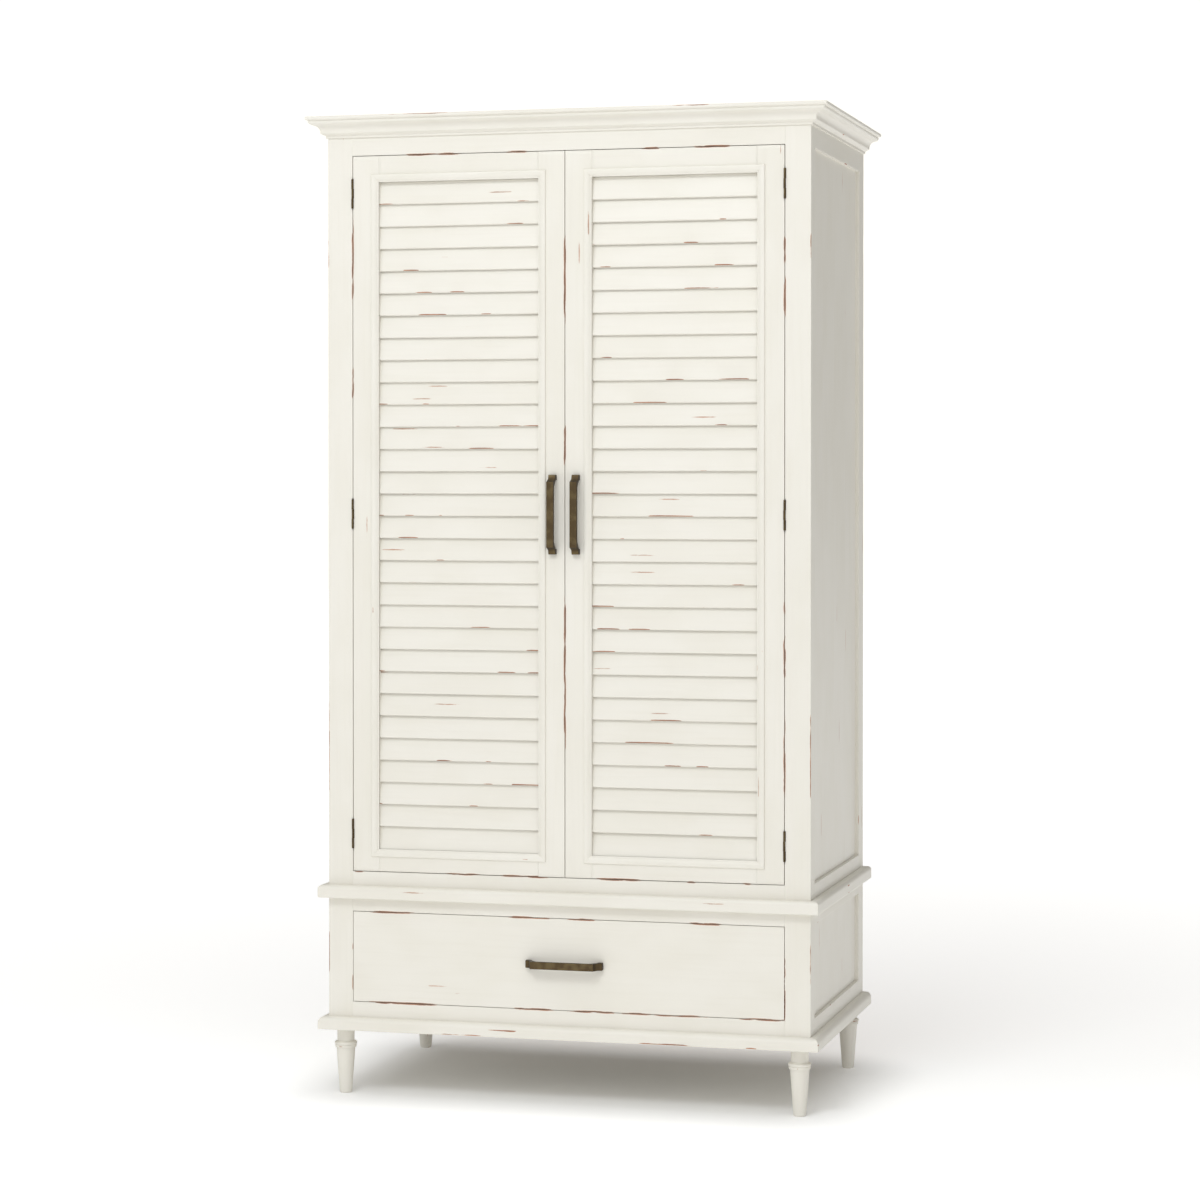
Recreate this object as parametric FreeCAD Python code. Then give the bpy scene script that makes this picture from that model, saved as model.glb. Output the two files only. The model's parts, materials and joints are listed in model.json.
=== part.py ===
"""Two-door louvred armoire with a drawer below, as separate wooden and metal pieces.

Millimetres. +X is to the viewer's right, +Y runs from the front to the back, +Z is up.
The origin is on the floor, under the middle of the whole object.
"""
import FreeCAD, Part
import math
import os

Vector = FreeCAD.Vector

# ---- overall case ------------------------------------------------------------------
BODY_W = 1080.0            # case width, without the mouldings
BODY_D = 627.5             # case depth, without the mouldings
FOOT_H = 145.0             # floor to the underside of the case
BASE_MOULDING_H = 28.0
BOTTOM_RAIL_SHOWN = 33.3   # rail seen between base moulding and drawer opening
DRAWER_OPENING_H = 200.1
RAIL_BELOW_BELT = 28.6     # rail seen between drawer opening and belt moulding
BELT_H = 28.0
RAIL_ABOVE_BELT = 30.8     # rail seen between belt moulding and doors
DOOR_OPENING_H = 1571.6
FRIEZE_SHOWN = 40.6        # rail seen between doors and crown
CROWN_H = 44.0
CROWN_OVERHANG = 41.0
BELT_OVERHANG = 20.0
BASE_OVERHANG = 20.0

# ---- moulding sections -------------------------------------------------------------
CROWN_EDGE_H = 8.0         # square top edge
CROWN_EDGE_STEP = 6.0      # its step back to the ovolo
CROWN_OVOLO_H = 7.5
CROWN_OVOLO_STEP = 3.0
CROWN_OVOLO_BULGE = 1.4
CROWN_COVE_H = 15.0
CROWN_COVE_STEP = 18.0
CROWN_COVE_BULGE = 4.2
CROWN_FILLET_H = 4.5
CROWN_NECK = 4.0           # lowest fillet, out from the case
BELT_TOP_R = 8.0
BELT_LOW_R = 3.5
BASE_TOP_R = 12.0
BASE_LOW_R = 2.0

# ---- case members ------------------------------------------------------------------
FRONT_POST_W = 56.0        # seen from the front
FRONT_POST_D = 46.0        # seen from the side
BACK_POST_W = 44.0
BACK_POST_D = 54.0
SIDE_RAIL_T = 24.0
BACK_RAIL_T = 24.0
SIDE_TOP_RAIL_SHOWN = 46.0
PANEL_T = 9.0
PANEL_SETBACK = 8.5        # panel face behind the outer face of its frame
GROOVE_D = 8.0             # how far a panel goes into its frame
TENON_T = 10.0
TENON_L = 24.0
TENON_SHOULDER = 8.0
BOARD_T = 18.0             # top board, wardrobe floor, shelf
BASE_BOARD_T = 12.0

# ---- doors -------------------------------------------------------------------------
DOOR_T = 28.0
DOOR_GAP = 1.5             # open joint round each door
DOOR_SEAT = 0.5            # door back to the stop it closes against
DOOR_STILE_W = 59.0
DOOR_TOP_RAIL_W = 57.0
DOOR_BOTTOM_RAIL_W = 49.0
BEAD_W = 17.0
BEAD_PROUD = 4.0
BEAD_EDGE_R = 2.5
BEAD_SINK = 2.8            # inner edge of the bead behind the door's face
BEAD_BULGE = 1.3
REBATE_W = 10.0            # rebate in the frame that the bead sits in
REBATE_D = 4.5
SLAT_PITCH_AIM = 48.6      # wished spacing, adjusted to a whole number of slats
SLAT_T = 6.5
SLAT_TILT = 10.0           # degrees from upright, lower edge forward
SLAT_OVERLAP = 2.4         # how far each slat reaches behind the one above
SLAT_HOUSING = 6.0         # how far a slat end goes into its stile
SLAT_BOTTOM_GAP = 1.6
SLAT_SETBACK = 0.4         # slat front edge behind the back of the bead

# ---- hinges ------------------------------------------------------------------------
HINGE_H = 62.0
HINGE_END = 83.0           # hinge centre to the top and bottom of the door opening
LEAF_T = 2.0
LEAF_D = 26.0
LEAF_CLEARANCE = 0.1
KNUCKLE_R = 2.2
KNUCKLE_NOTCH_R = 2.5
PIN_R = 1.1
PIN_CLEARANCE = 0.05
PIN_HEAD_H = 1.2
AXIS_PROUD = 1.5           # hinge axis in front of the case front
KNUCKLE_GAP = 0.3
HINGE_SCREW_R = 1.75
HINGE_SCREW_HEAD_R = 3.2
HINGE_SCREW_L = 18.0
HINGE_SCREW_OFFSETS = (-21.0, 0.0, 21.0)

# ---- pulls -------------------------------------------------------------------------
PULL_L = 172.0
PULL_CENTRES = 160.0
PULL_W = 16.0
PULL_PROUD = 29.0
PULL_BAR_T = 8.0
PULL_FOOT_H = 11.0         # how far the block at each end stands out
PULL_FOOT_TOP = 9.0        # its front, along the pull
PULL_SLOPE = 15.0          # end of the pull to where the bar is at full height
DOOR_PULL_X = 26.0
PULL_SCREW_R = 2.0
PULL_SCREW_CLEARANCE = 0.25
PULL_SCREW_GRIP = 8.0      # thread inside the pull's foot
PULL_SCREW_HEAD_R = 4.0
PULL_SCREW_HEAD_H = 2.4

# ---- drawer ------------------------------------------------------------------------
DRAWER_GAP = 1.2           # open joint round the drawer front
DRAWER_FRONT_T = 22.0
DRAWER_L = 560.0           # front face to back face
DRAWER_SIDE_T = 14.0
DRAWER_SIDE_H = 165.0
DRAWER_BACK_H = 140.0
DRAWER_BOTTOM_T = 6.0
DRAWER_BOTTOM_RAISE = 12.0
DRAWER_GROOVE_D = 6.0
DRAWER_SIDE_CLEARANCE = 0.4
DRAWER_RUN_CLEARANCE = 0.3
RUNNER_W = 32.0
RUNNER_H = 20.0
GUIDE_W = 12.0
GUIDE_H = 40.0
KICKER_W = 44.0
KICKER_CLEARANCE = 2.0
KICKER_LAP = 14.0          # kicker height behind the rail above the drawer

# ---- inside fittings ---------------------------------------------------------------
SHELF_DROP = 275.4         # underside of the hat shelf below the top of the door opening
SHELF_FRONT_SETBACK = 60.0
CLEAT_T = 20.0
CLEAT_H = 90.0
ROD_R = 14.0
ROD_DROP = 52.0            # rod axis below the hat shelf
SOCKET_R = 26.0
SOCKET_T = 12.0
SOCKET_FLOOR = 3.0
ROD_CLEARANCE = 0.1
STOP_D = 18.0
STOP_DROP = 12.0           # how far the door stop shows below the frieze rail
CATCH_W = 46.0
CATCH_D = 18.0
CATCH_H = 15.0
CATCH_X = 45.0             # catch centre from the middle of the case
PLATE_T = 1.2
STRIKE_W = 36.0
STRIKE_H = 12.0

# ---- feet --------------------------------------------------------------------------
FOOT_INSET = 29.0          # foot axis from the case's outer faces
FOOT_FLANGE_R = 25.5
FOOT_FLANGE_H = 4.0
FOOT_NECK_R = 19.2
FOOT_NECK_H = 26.0
FOOT_RING_R = 24.4
FOOT_RING_H = 6.0
FOOT_RING_BULGE = 0.8
FOOT_RING_COVE = 1.6       # height of the slope from the neck out to the ring
FOOT_BEAD_R = 23.6
FOOT_BEAD_H = 6.5
FOOT_TAPER_R = 20.9
FOOT_TOE_R = 13.6
FOOT_TOE_EASE = 2.0
FOOT_TENON_R = 12.0
FOOT_TENON_H = 30.0
FOOT_TENON_CLEAR = 2.0     # wood between a foot's tenon and the rail tenons above it

# ---- named clearances --------------------------------------------------------------
GLUE_GAP = 0.1             # round tenons, panels in grooves and housed boards
NOTCH_GAP = 0.2            # round posts where a board is cut to pass them

# ---- levels and faces worked out from the sizes above ------------------------------
BASE_TOP = FOOT_H + BASE_MOULDING_H
DRAWER_LOW = BASE_TOP + BOTTOM_RAIL_SHOWN
DRAWER_HIGH = DRAWER_LOW + DRAWER_OPENING_H
BELT_LOW = DRAWER_HIGH + RAIL_BELOW_BELT
BELT_HIGH = BELT_LOW + BELT_H
DOOR_LOW = BELT_HIGH + RAIL_ABOVE_BELT
DOOR_HIGH = DOOR_LOW + DOOR_OPENING_H
CROWN_LOW = DOOR_HIGH + FRIEZE_SHOWN
TOP = CROWN_LOW + CROWN_H
TOP_BOARD_LOW = TOP - BOARD_T

HALF_W = BODY_W / 2
FRONT = (CROWN_OVERHANG - BODY_D) / 2
BACK = FRONT + BODY_D
OPENING_X = HALF_W - FRONT_POST_W
BACK_POST_X = HALF_W - BACK_POST_W
FACE_RAIL_T = DOOR_T + DOOR_SEAT
RAIL_BACK = FRONT + FACE_RAIL_T
SIDE_INNER_X = HALF_W - SIDE_RAIL_T
BACK_INNER = BACK - BACK_RAIL_T
PANEL_OUT_X = HALF_W - PANEL_SETBACK
PANEL_OUT_Y = BACK - PANEL_SETBACK

DOOR_X0 = DOOR_GAP / 2
DOOR_X1 = OPENING_X - DOOR_GAP
DOOR_Z0 = DOOR_LOW + DOOR_GAP
DOOR_Z1 = DOOR_HIGH - DOOR_GAP
LIGHT_X0 = DOOR_X0 + DOOR_STILE_W
LIGHT_X1 = DOOR_X1 - DOOR_STILE_W
LIGHT_Z0 = DOOR_Z0 + DOOR_BOTTOM_RAIL_W
LIGHT_Z1 = DOOR_Z1 - DOOR_TOP_RAIL_W
SLAT_COUNT = round((LIGHT_Z1 - LIGHT_Z0 - SLAT_BOTTOM_GAP) / SLAT_PITCH_AIM)
SLAT_PITCH = (LIGHT_Z1 - LIGHT_Z0 - SLAT_BOTTOM_GAP) / SLAT_COUNT
SLAT_W = (SLAT_PITCH + SLAT_OVERLAP) / math.cos(math.radians(SLAT_TILT))

DOOR_PULL_Z = (DOOR_LOW + DOOR_HIGH) / 2
SHELF_Z = DOOR_HIGH - SHELF_DROP
AXIS_X = OPENING_X - DOOR_GAP / 2
AXIS_Y = FRONT - AXIS_PROUD
HINGE_ZS = (DOOR_LOW + HINGE_END, (DOOR_LOW + DOOR_HIGH) / 2, DOOR_HIGH - HINGE_END)


# ---- small builders ----------------------------------------------------------------
def box(x0, x1, y0, y1, z0, z1):
    return Part.makeBox(x1 - x0, y1 - y0, z1 - z0, Vector(x0, y0, z0))


def grown(bounds, *margins):
    """The six limits of a box, moved out by a margin along X, Y and Z."""
    x0, x1, y0, y1, z0, z1 = bounds
    mx, my, mz = margins
    return (x0 - mx, x1 + mx, y0 - my, y1 + my, z0 - mz, z1 + mz)


def rod(radius, length, start, along):
    return Part.makeCylinder(radius, length, start, along)


def mirrored(shapes):
    """The same pieces on the other side of the case."""
    return [shape.mirror(Vector(0, 0, 0), Vector(1, 0, 0)) for shape in shapes]


def export(node, *pieces):
    """Write the pieces of one node, each as its own solid."""
    solids = [solid for piece in pieces for solid in piece.Solids]
    Part.makeCompound(solids).exportStep("parts/" + node + ".step")


def arc_middle(start, end, bulge):
    """The middle of an arc that stands `bulge` to the left of its chord."""
    run = (end[0] - start[0], end[1] - start[1])
    chord = math.hypot(*run)
    return ((start[0] + end[0]) / 2 - run[1] / chord * bulge,
            (start[1] + end[1]) / 2 + run[0] / chord * bulge)


def outline(steps, place):
    """A flat face round the given steps, taken with the outside on the left.

    A step of two numbers is reached by a straight line. A third number makes it an
    arc that bulges outwards by that much, or inwards where it is negative.
    """
    edges = []
    for start, end in zip(steps, steps[1:] + steps[:1]):
        here = place(*start[:2])
        there = place(*end[:2])
        if len(end) == 3:
            middle = place(*arc_middle(start, end, end[2]))
            edges.append(Part.Arc(here, middle, there).toShape())
        else:
            edges.append(Part.makeLine(here, there))
    return Part.Face(Part.Wire(edges))


def quarter_bulge(radius):
    """How far a quarter circle stands out from its chord."""
    return radius * (1 - math.sqrt(0.5))


def tenon_ends(bounds, axis):
    """The limits of the tenons at both ends of a rail that runs along X or Y."""
    x0, x1, y0, y1, z0, z1 = bounds
    low_z = max(z0 + TENON_SHOULDER, FOOT_H + FOOT_TENON_H + FOOT_TENON_CLEAR)
    high_z = z1 - TENON_SHOULDER
    if axis == "x":
        mid = (y0 + y1) / 2
        near, far = mid - TENON_T / 2, mid + TENON_T / 2
        return [(x0 - TENON_L, x0, near, far, low_z, high_z),
                (x1, x1 + TENON_L, near, far, low_z, high_z)]
    mid = (x0 + x1) / 2
    near, far = mid - TENON_T / 2, mid + TENON_T / 2
    return [(near, far, y0 - TENON_L, y0, low_z, high_z),
            (near, far, y1, y1 + TENON_L, low_z, high_z)]


def tenoned(bounds, axis):
    """A rail with a tenon at each end."""
    ends = [box(*end) for end in tenon_ends(bounds, axis)]
    return box(*bounds).fuse(ends).removeSplitter()


def mortises(rails, axis):
    """The sockets that the tenons of the given rails need."""
    sockets = []
    for bounds in rails:
        for end in tenon_ends(bounds, axis):
            sockets.append(box(*grown(end, GLUE_GAP, GLUE_GAP, GLUE_GAP)))
    return sockets


# ---- case frame --------------------------------------------------------------------
FRONT_RAILS = {
    "frieze_rail": (-OPENING_X, OPENING_X, FRONT, RAIL_BACK, DOOR_HIGH, TOP_BOARD_LOW),
    "middle_rail": (-OPENING_X, OPENING_X, FRONT, RAIL_BACK, DRAWER_HIGH, DOOR_LOW),
    "bottom_rail": (-OPENING_X, OPENING_X, FRONT, RAIL_BACK, FOOT_H, DRAWER_LOW),
}
SIDE_LEVELS = ((FOOT_H, DRAWER_LOW), (DRAWER_HIGH, DOOR_LOW),
               (CROWN_LOW - SIDE_TOP_RAIL_SHOWN, TOP_BOARD_LOW))
SIDE_RAILS = [(SIDE_INNER_X, HALF_W, FRONT + FRONT_POST_D, BACK - BACK_POST_D, low, high)
              for low, high in SIDE_LEVELS]
BACK_RAILS = [(-BACK_POST_X, BACK_POST_X, BACK_INNER, BACK, low, high)
              for low, high in SIDE_LEVELS]


def panel_bounds(reach):
    """Limits of the side and back panels, which go `reach` into their frames."""
    side, back = [], []
    for (_, low), (high, _) in zip(SIDE_LEVELS, SIDE_LEVELS[1:]):
        side.append((PANEL_OUT_X - PANEL_T, PANEL_OUT_X,
                     FRONT + FRONT_POST_D - reach, BACK - BACK_POST_D + reach,
                     low - reach, high + reach))
        back.append((-BACK_POST_X - reach, BACK_POST_X + reach,
                     PANEL_OUT_Y - PANEL_T, PANEL_OUT_Y,
                     low - reach, high + reach))
    return side, back


def grooves():
    """The grooves for every panel of the right side and the back."""
    side, back = panel_bounds(GROOVE_D)
    cuts = [box(*grown(bounds, GLUE_GAP, 0, 0)) for bounds in side]
    cuts += [box(*grown(bounds, 0, GLUE_GAP, 0)) for bounds in back]
    return cuts


def foot_tenon_socket(y):
    """Round hole in the end of a post for the tenon of its foot."""
    start = Vector(HALF_W - FOOT_INSET, y, FOOT_H)
    return rod(FOOT_TENON_R + PIN_CLEARANCE, FOOT_TENON_H + 1, start, Vector(0, 0, 1))


def hinge_cuts_in_post():
    cuts = []
    for z in HINGE_ZS:
        cuts += [leaf_recess(z, 1), knuckle_notch(z)]
        cuts += hinge_screws(z, 1)
    return cuts


def make_posts():
    """Four corner posts that run from the feet to the top board."""
    front = box(OPENING_X, HALF_W, FRONT, FRONT + FRONT_POST_D, FOOT_H, TOP_BOARD_LOW)
    back = box(BACK_POST_X, HALF_W, BACK - BACK_POST_D, BACK, FOOT_H, TOP_BOARD_LOW)
    sockets = mortises(SIDE_RAILS, "y") + grooves()
    front = front.cut(sockets + mortises(FRONT_RAILS.values(), "x") + hinge_cuts_in_post()
                      + [foot_tenon_socket(FRONT + FOOT_INSET)])
    back = back.cut(sockets + mortises(BACK_RAILS, "x")
                    + [foot_tenon_socket(BACK - FOOT_INSET)])
    for name, post in (("front_post", front), ("back_post", back)):
        export("right_" + name, post)
        export("left_" + name, *mirrored([post]))


def make_rails():
    """Front, side and back rails, grooved for the panels between them."""
    for node, bounds in FRONT_RAILS.items():
        export(node, tenoned(bounds, "x"))
    side = [tenoned(bounds, "y").cut(grooves()) for bounds in SIDE_RAILS]
    export("right_side_rails", *side)
    export("left_side_rails", *mirrored(side))
    back = [tenoned(bounds, "x").cut(grooves()) for bounds in BACK_RAILS]
    export("back_rails", *back)


def make_panels():
    """Loose panels held in the grooves of the side and back frames."""
    side, back = panel_bounds(GROOVE_D - GLUE_GAP)
    for level, bounds in zip(("lower", "upper"), side):
        panel = box(*bounds)
        export(level + "_right_side_panel", panel)
        export(level + "_left_side_panel", *mirrored([panel]))
    export("back_panels", *[box(*bounds) for bounds in back])


def clear_of_posts(board):
    """Cut the corners of a board so that it passes the four posts."""
    front = (OPENING_X, HALF_W, FRONT, FRONT + FRONT_POST_D, 0, TOP)
    back = (BACK_POST_X, HALF_W, BACK - BACK_POST_D, BACK, 0, TOP)
    cuts = [box(*grown(bounds, NOTCH_GAP, NOTCH_GAP, 0)) for bounds in (front, back)]
    return board.cut(cuts + mirrored(cuts))


def make_boards():
    """Top board, wardrobe floor, board under the drawer and hat shelf."""
    inner_x = SIDE_INNER_X - GLUE_GAP
    inner_back = BACK_INNER - GLUE_GAP
    export("top_board", box(-HALF_W, HALF_W, FRONT, BACK, TOP_BOARD_LOW, TOP))
    floor_low = DOOR_LOW + DOOR_GAP + STOP_DROP / 2 - BOARD_T
    floor = box(-inner_x, inner_x, RAIL_BACK, inner_back, floor_low, floor_low + BOARD_T)
    export("wardrobe_floor", clear_of_posts(floor))
    base = box(-inner_x, inner_x, RAIL_BACK, inner_back, FOOT_H, FOOT_H + BASE_BOARD_T)
    export("base_board", clear_of_posts(base))
    shelf = box(-inner_x, inner_x, FRONT + SHELF_FRONT_SETBACK, inner_back,
                SHELF_Z, SHELF_Z + BOARD_T)
    export("hat_shelf", clear_of_posts(shelf))


# ---- mouldings ---------------------------------------------------------------------
def mitred_moulding(steps, overhang):
    """One front and two side lengths of moulding, mitred where they meet.

    Steps are (distance out from the case, height above the floor).
    """
    far_x = HALF_W + overhang
    far_y = FRONT - overhang

    def plan(corners):
        points = [Vector(x, y, 0) for x, y in corners]
        wire = Part.makePolygon(points + points[:1])
        return Part.Face(wire).extrude(Vector(0, 0, TOP))

    front = outline(steps, lambda out, z: Vector(-far_x, FRONT - out, z))
    front = front.extrude(Vector(2 * far_x, 0, 0))
    front = front.common(plan([(-HALF_W, FRONT), (HALF_W, FRONT),
                               (far_x, far_y), (-far_x, far_y)]))
    side = outline(steps, lambda out, z: Vector(HALF_W + out, far_y, z))
    side = side.extrude(Vector(0, BACK - far_y, 0))
    side = side.common(plan([(HALF_W, FRONT), (HALF_W, BACK),
                             (far_x, BACK), (far_x, far_y)]))
    return [front, side] + mirrored([side])


def crown_steps():
    """Square top edge, small step, ovolo, deep cove and two fillets, from the top down."""
    out = CROWN_OVERHANG
    ovolo_top = TOP - CROWN_EDGE_H
    ovolo_low = ovolo_top - CROWN_OVOLO_H
    cove_low = ovolo_low - CROWN_COVE_H
    fillet_low = cove_low - CROWN_FILLET_H
    ovolo_out = out - CROWN_EDGE_STEP
    cove_out = ovolo_out - CROWN_OVOLO_STEP
    fillet_out = cove_out - CROWN_COVE_STEP
    return [(0, TOP), (out, TOP), (out, ovolo_top), (ovolo_out, ovolo_top),
            (cove_out, ovolo_low, CROWN_OVOLO_BULGE),
            (fillet_out, cove_low, -CROWN_COVE_BULGE), (fillet_out, fillet_low),
            (CROWN_NECK, fillet_low - (fillet_out - CROWN_NECK)),
            (CROWN_NECK, CROWN_LOW), (0, CROWN_LOW)]


def eased_steps(low, high, out, top_radius, low_radius):
    """A flat band with a rounded top edge and an eased bottom edge, from the top down."""
    return [(0, high), (out - top_radius, high),
            (out, high - top_radius, quarter_bulge(top_radius)), (out, low + low_radius),
            (out - low_radius, low, quarter_bulge(low_radius)), (0, low)]


def make_mouldings():
    export("crown_moulding", *mitred_moulding(crown_steps(), CROWN_OVERHANG))
    belt = eased_steps(BELT_LOW, BELT_HIGH, BELT_OVERHANG, BELT_TOP_R, BELT_LOW_R)
    export("belt_moulding", *mitred_moulding(belt, BELT_OVERHANG))
    base = eased_steps(FOOT_H, BASE_TOP, BASE_OVERHANG, BASE_TOP_R, BASE_LOW_R)
    export("base_moulding", *mitred_moulding(base, BASE_OVERHANG))


# ---- feet --------------------------------------------------------------------------
def turned_foot(y):
    """A turned foot with a flange, a neck, a double ring and a long taper."""
    flange_low = FOOT_H - FOOT_FLANGE_H
    neck_low = flange_low - FOOT_NECK_H
    ring_top = neck_low - FOOT_RING_COVE
    ring_low = ring_top - FOOT_RING_H
    bead_low = ring_low - FOOT_BEAD_H
    steps = [(0, FOOT_H + FOOT_TENON_H), (FOOT_TENON_R, FOOT_H + FOOT_TENON_H),
             (FOOT_TENON_R, FOOT_H), (FOOT_FLANGE_R, FOOT_H), (FOOT_FLANGE_R, flange_low),
             (FOOT_NECK_R, flange_low), (FOOT_NECK_R, neck_low), (FOOT_RING_R, ring_top),
             (FOOT_RING_R, ring_low, FOOT_RING_BULGE),
             (FOOT_BEAD_R, ring_low), (FOOT_BEAD_R, bead_low), (FOOT_TAPER_R, bead_low),
             (FOOT_TOE_R, FOOT_TOE_EASE), (FOOT_TOE_R - FOOT_TOE_EASE, 0), (0, 0)]
    section = outline(steps, lambda out, z: Vector(out, 0, z))
    foot = section.revolve(Vector(0, 0, 0), Vector(0, 0, 1), 360)
    foot.translate(Vector(HALF_W - FOOT_INSET, y, 0))
    return foot


def make_feet():
    for place, y in (("front", FRONT + FOOT_INSET), ("back", BACK - FOOT_INSET)):
        foot = turned_foot(y)
        export(place + "_right_foot", foot)
        export(place + "_left_foot", *mirrored([foot]))


# ---- hinges ------------------------------------------------------------------------
# Every hinge piece is made for the right door. Side +1 is the post's half of the
# hinge and side -1 the door's half, mirrored about the hinge axis.
def across(side, near, far):
    """X limits between two distances from the hinge axis, on one side of it."""
    ends = (AXIS_X + side * near, AXIS_X + side * far)
    return min(ends), max(ends)


def leaf_limits(z, side):
    """A leaf starts where the round notch for the knuckle ends."""
    x0, x1 = across(side, DOOR_GAP / 2, DOOR_GAP / 2 + LEAF_T)
    y0 = AXIS_Y + math.sqrt(KNUCKLE_NOTCH_R ** 2 - (DOOR_GAP / 2) ** 2) + LEAF_CLEARANCE
    return (x0, x1, y0, FRONT + LEAF_D, z - HINGE_H / 2, z + HINGE_H / 2)


def leaf_recess(z, side):
    """Shallow recess that lets a leaf lie flush with the wood."""
    x0, x1, _, y1, z0, z1 = leaf_limits(z, side)
    return box(x0, x1, AXIS_Y, y1, z0, z1)


def knuckle_notch(z):
    """Round notch that the knuckle and the pin heads turn in."""
    reach = HINGE_H / 2 + PIN_HEAD_H + KNUCKLE_GAP
    start = Vector(AXIS_X, AXIS_Y, z - reach)
    return rod(KNUCKLE_NOTCH_R, 2 * reach, start, Vector(0, 0, 1))


def knuckle_spans(z, side):
    """The post's leaf carries the outer two knuckles and the door's the middle one."""
    third = (HINGE_H - 2 * KNUCKLE_GAP) / 3
    low = z - HINGE_H / 2
    spans = [(low + i * (third + KNUCKLE_GAP), low + i * (third + KNUCKLE_GAP) + third)
             for i in range(3)]
    return [spans[0], spans[2]] if side > 0 else [spans[1]]


def hinge_screws(z, side):
    """Countersunk screws through one leaf into the wood behind it."""
    screws = []
    start_x = AXIS_X + side * DOOR_GAP / 2
    along = Vector(side, 0, 0)
    y = FRONT + LEAF_D / 2
    for offset in HINGE_SCREW_OFFSETS:
        start = Vector(start_x, y, z + offset)
        head = Part.makeCone(HINGE_SCREW_HEAD_R, HINGE_SCREW_R, LEAF_T, start, along)
        shank = rod(HINGE_SCREW_R, HINGE_SCREW_L, start, along)
        screws.append(head.fuse(shank).removeSplitter())
    return screws


def hinge_leaf(z, side):
    leaf = box(*leaf_limits(z, side))
    x0, x1 = across(side, DOOR_GAP / 2, DOOR_GAP / 2 + LEAF_T)
    for low, high in knuckle_spans(z, side):
        knuckle = rod(KNUCKLE_R, high - low, Vector(AXIS_X, AXIS_Y, low), Vector(0, 0, 1))
        tab = box(x0, x1, AXIS_Y, leaf_limits(z, side)[2] + LEAF_T, low, high)
        leaf = leaf.fuse([knuckle, tab])
    bore = rod(PIN_R + PIN_CLEARANCE, HINGE_H + 2, Vector(AXIS_X, AXIS_Y, z - HINGE_H / 2 - 1),
               Vector(0, 0, 1))
    return leaf.removeSplitter().cut([bore] + hinge_screws(z, side))


def hinge_pin(z):
    low = z - HINGE_H / 2
    up = Vector(0, 0, 1)
    pin = rod(PIN_R, HINGE_H, Vector(AXIS_X, AXIS_Y, low), up)
    heads = [rod(KNUCKLE_R, PIN_HEAD_H, Vector(AXIS_X, AXIS_Y, start), up)
             for start in (low - PIN_HEAD_H, low + HINGE_H)]
    return pin.fuse(heads).removeSplitter()


def make_frame_hinges():
    leaves = [hinge_leaf(z, 1) for z in HINGE_ZS]
    export("frame_hinge_leaves", *leaves, *mirrored(leaves))
    pins = [hinge_pin(z) for z in HINGE_ZS]
    export("hinge_pins", *pins, *mirrored(pins))
    screws = [screw for z in HINGE_ZS for screw in hinge_screws(z, 1)]
    export("frame_hinge_screws", *screws, *mirrored(screws))


# ---- pulls -------------------------------------------------------------------------
def bar_pull(along, centre):
    """A flat bar pull with sloping ends, fixed to a front face at `centre`.

    `along` is the direction of its length. It stands out towards -Y.
    """
    across_dir = Vector(0, 1, 0).cross(along)
    half = PULL_L / 2
    foot = PULL_L - PULL_CENTRES
    inner = half - foot

    def place(length, out):
        return centre + along * length - Vector(0, out, 0) - across_dir * (PULL_W / 2)

    under = PULL_PROUD - PULL_BAR_T
    block = half - PULL_FOOT_TOP
    bar_end = half - PULL_SLOPE
    steps = [(half, 0), (half, PULL_FOOT_H), (block, PULL_FOOT_H + 2), (bar_end, PULL_PROUD),
             (-bar_end, PULL_PROUD), (-block, PULL_FOOT_H + 2), (-half, PULL_FOOT_H), (-half, 0),
             (-inner, 0), (-inner, PULL_FOOT_H - 3), (foot - bar_end, under),
             (bar_end - foot, under), (inner, PULL_FOOT_H - 3), (inner, 0)]
    bar = outline(steps, place).extrude(across_dir * PULL_W)
    long_edges = [edge for edge in bar.Edges
                  if abs(abs((edge.Vertexes[0].Point - edge.Vertexes[-1].Point).dot(along))
                         - (PULL_L - 2 * PULL_SLOPE)) < 0.01]
    bar = bar.makeChamfer(1.0, long_edges)
    return bar.cut(pull_screws(along, centre, 0.0))


def pull_screws(along, centre, wood):
    """The two machine screws of a pull, up to a head behind wood of that thickness."""
    screws = []
    for side in (-1, 1):
        foot = centre + along * (side * (PULL_CENTRES / 2))
        start = foot - Vector(0, PULL_SCREW_GRIP, 0)
        shank = rod(PULL_SCREW_R, PULL_SCREW_GRIP + wood, start, Vector(0, 1, 0))
        if wood:
            head = rod(PULL_SCREW_HEAD_R, PULL_SCREW_HEAD_H, foot + Vector(0, wood, 0),
                       Vector(0, 1, 0))
            shank = shank.fuse(head).removeSplitter()
        screws.append(shank)
    return screws


def pull_holes(along, centre, wood):
    """Clearance holes through the wood behind a pull."""
    radius = PULL_SCREW_R + PULL_SCREW_CLEARANCE
    return [rod(radius, wood, centre + along * (side * (PULL_CENTRES / 2)), Vector(0, 1, 0))
            for side in (-1, 1)]


# ---- doors -------------------------------------------------------------------------
# Every piece is made for the right door and mirrored for the left one.
def slat_solid(index, x0, x1, margin=0.0):
    """One tilted slat, counted from the top, with its lower edge forward."""
    front_y = FRONT + REBATE_D + SLAT_SETBACK
    low_z = LIGHT_Z1 - (index + 1) * SLAT_PITCH
    slat = box(x0, x1, -margin, SLAT_T + margin, -margin, SLAT_W + margin)
    slat.rotate(Vector(0, 0, 0), Vector(1, 0, 0), -SLAT_TILT)
    slat.translate(Vector(0, front_y, low_z))
    limit = box(x0, x1, FRONT, FRONT + 2 * DOOR_T, 0, LIGHT_Z1)
    return slat.common(limit)


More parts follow.
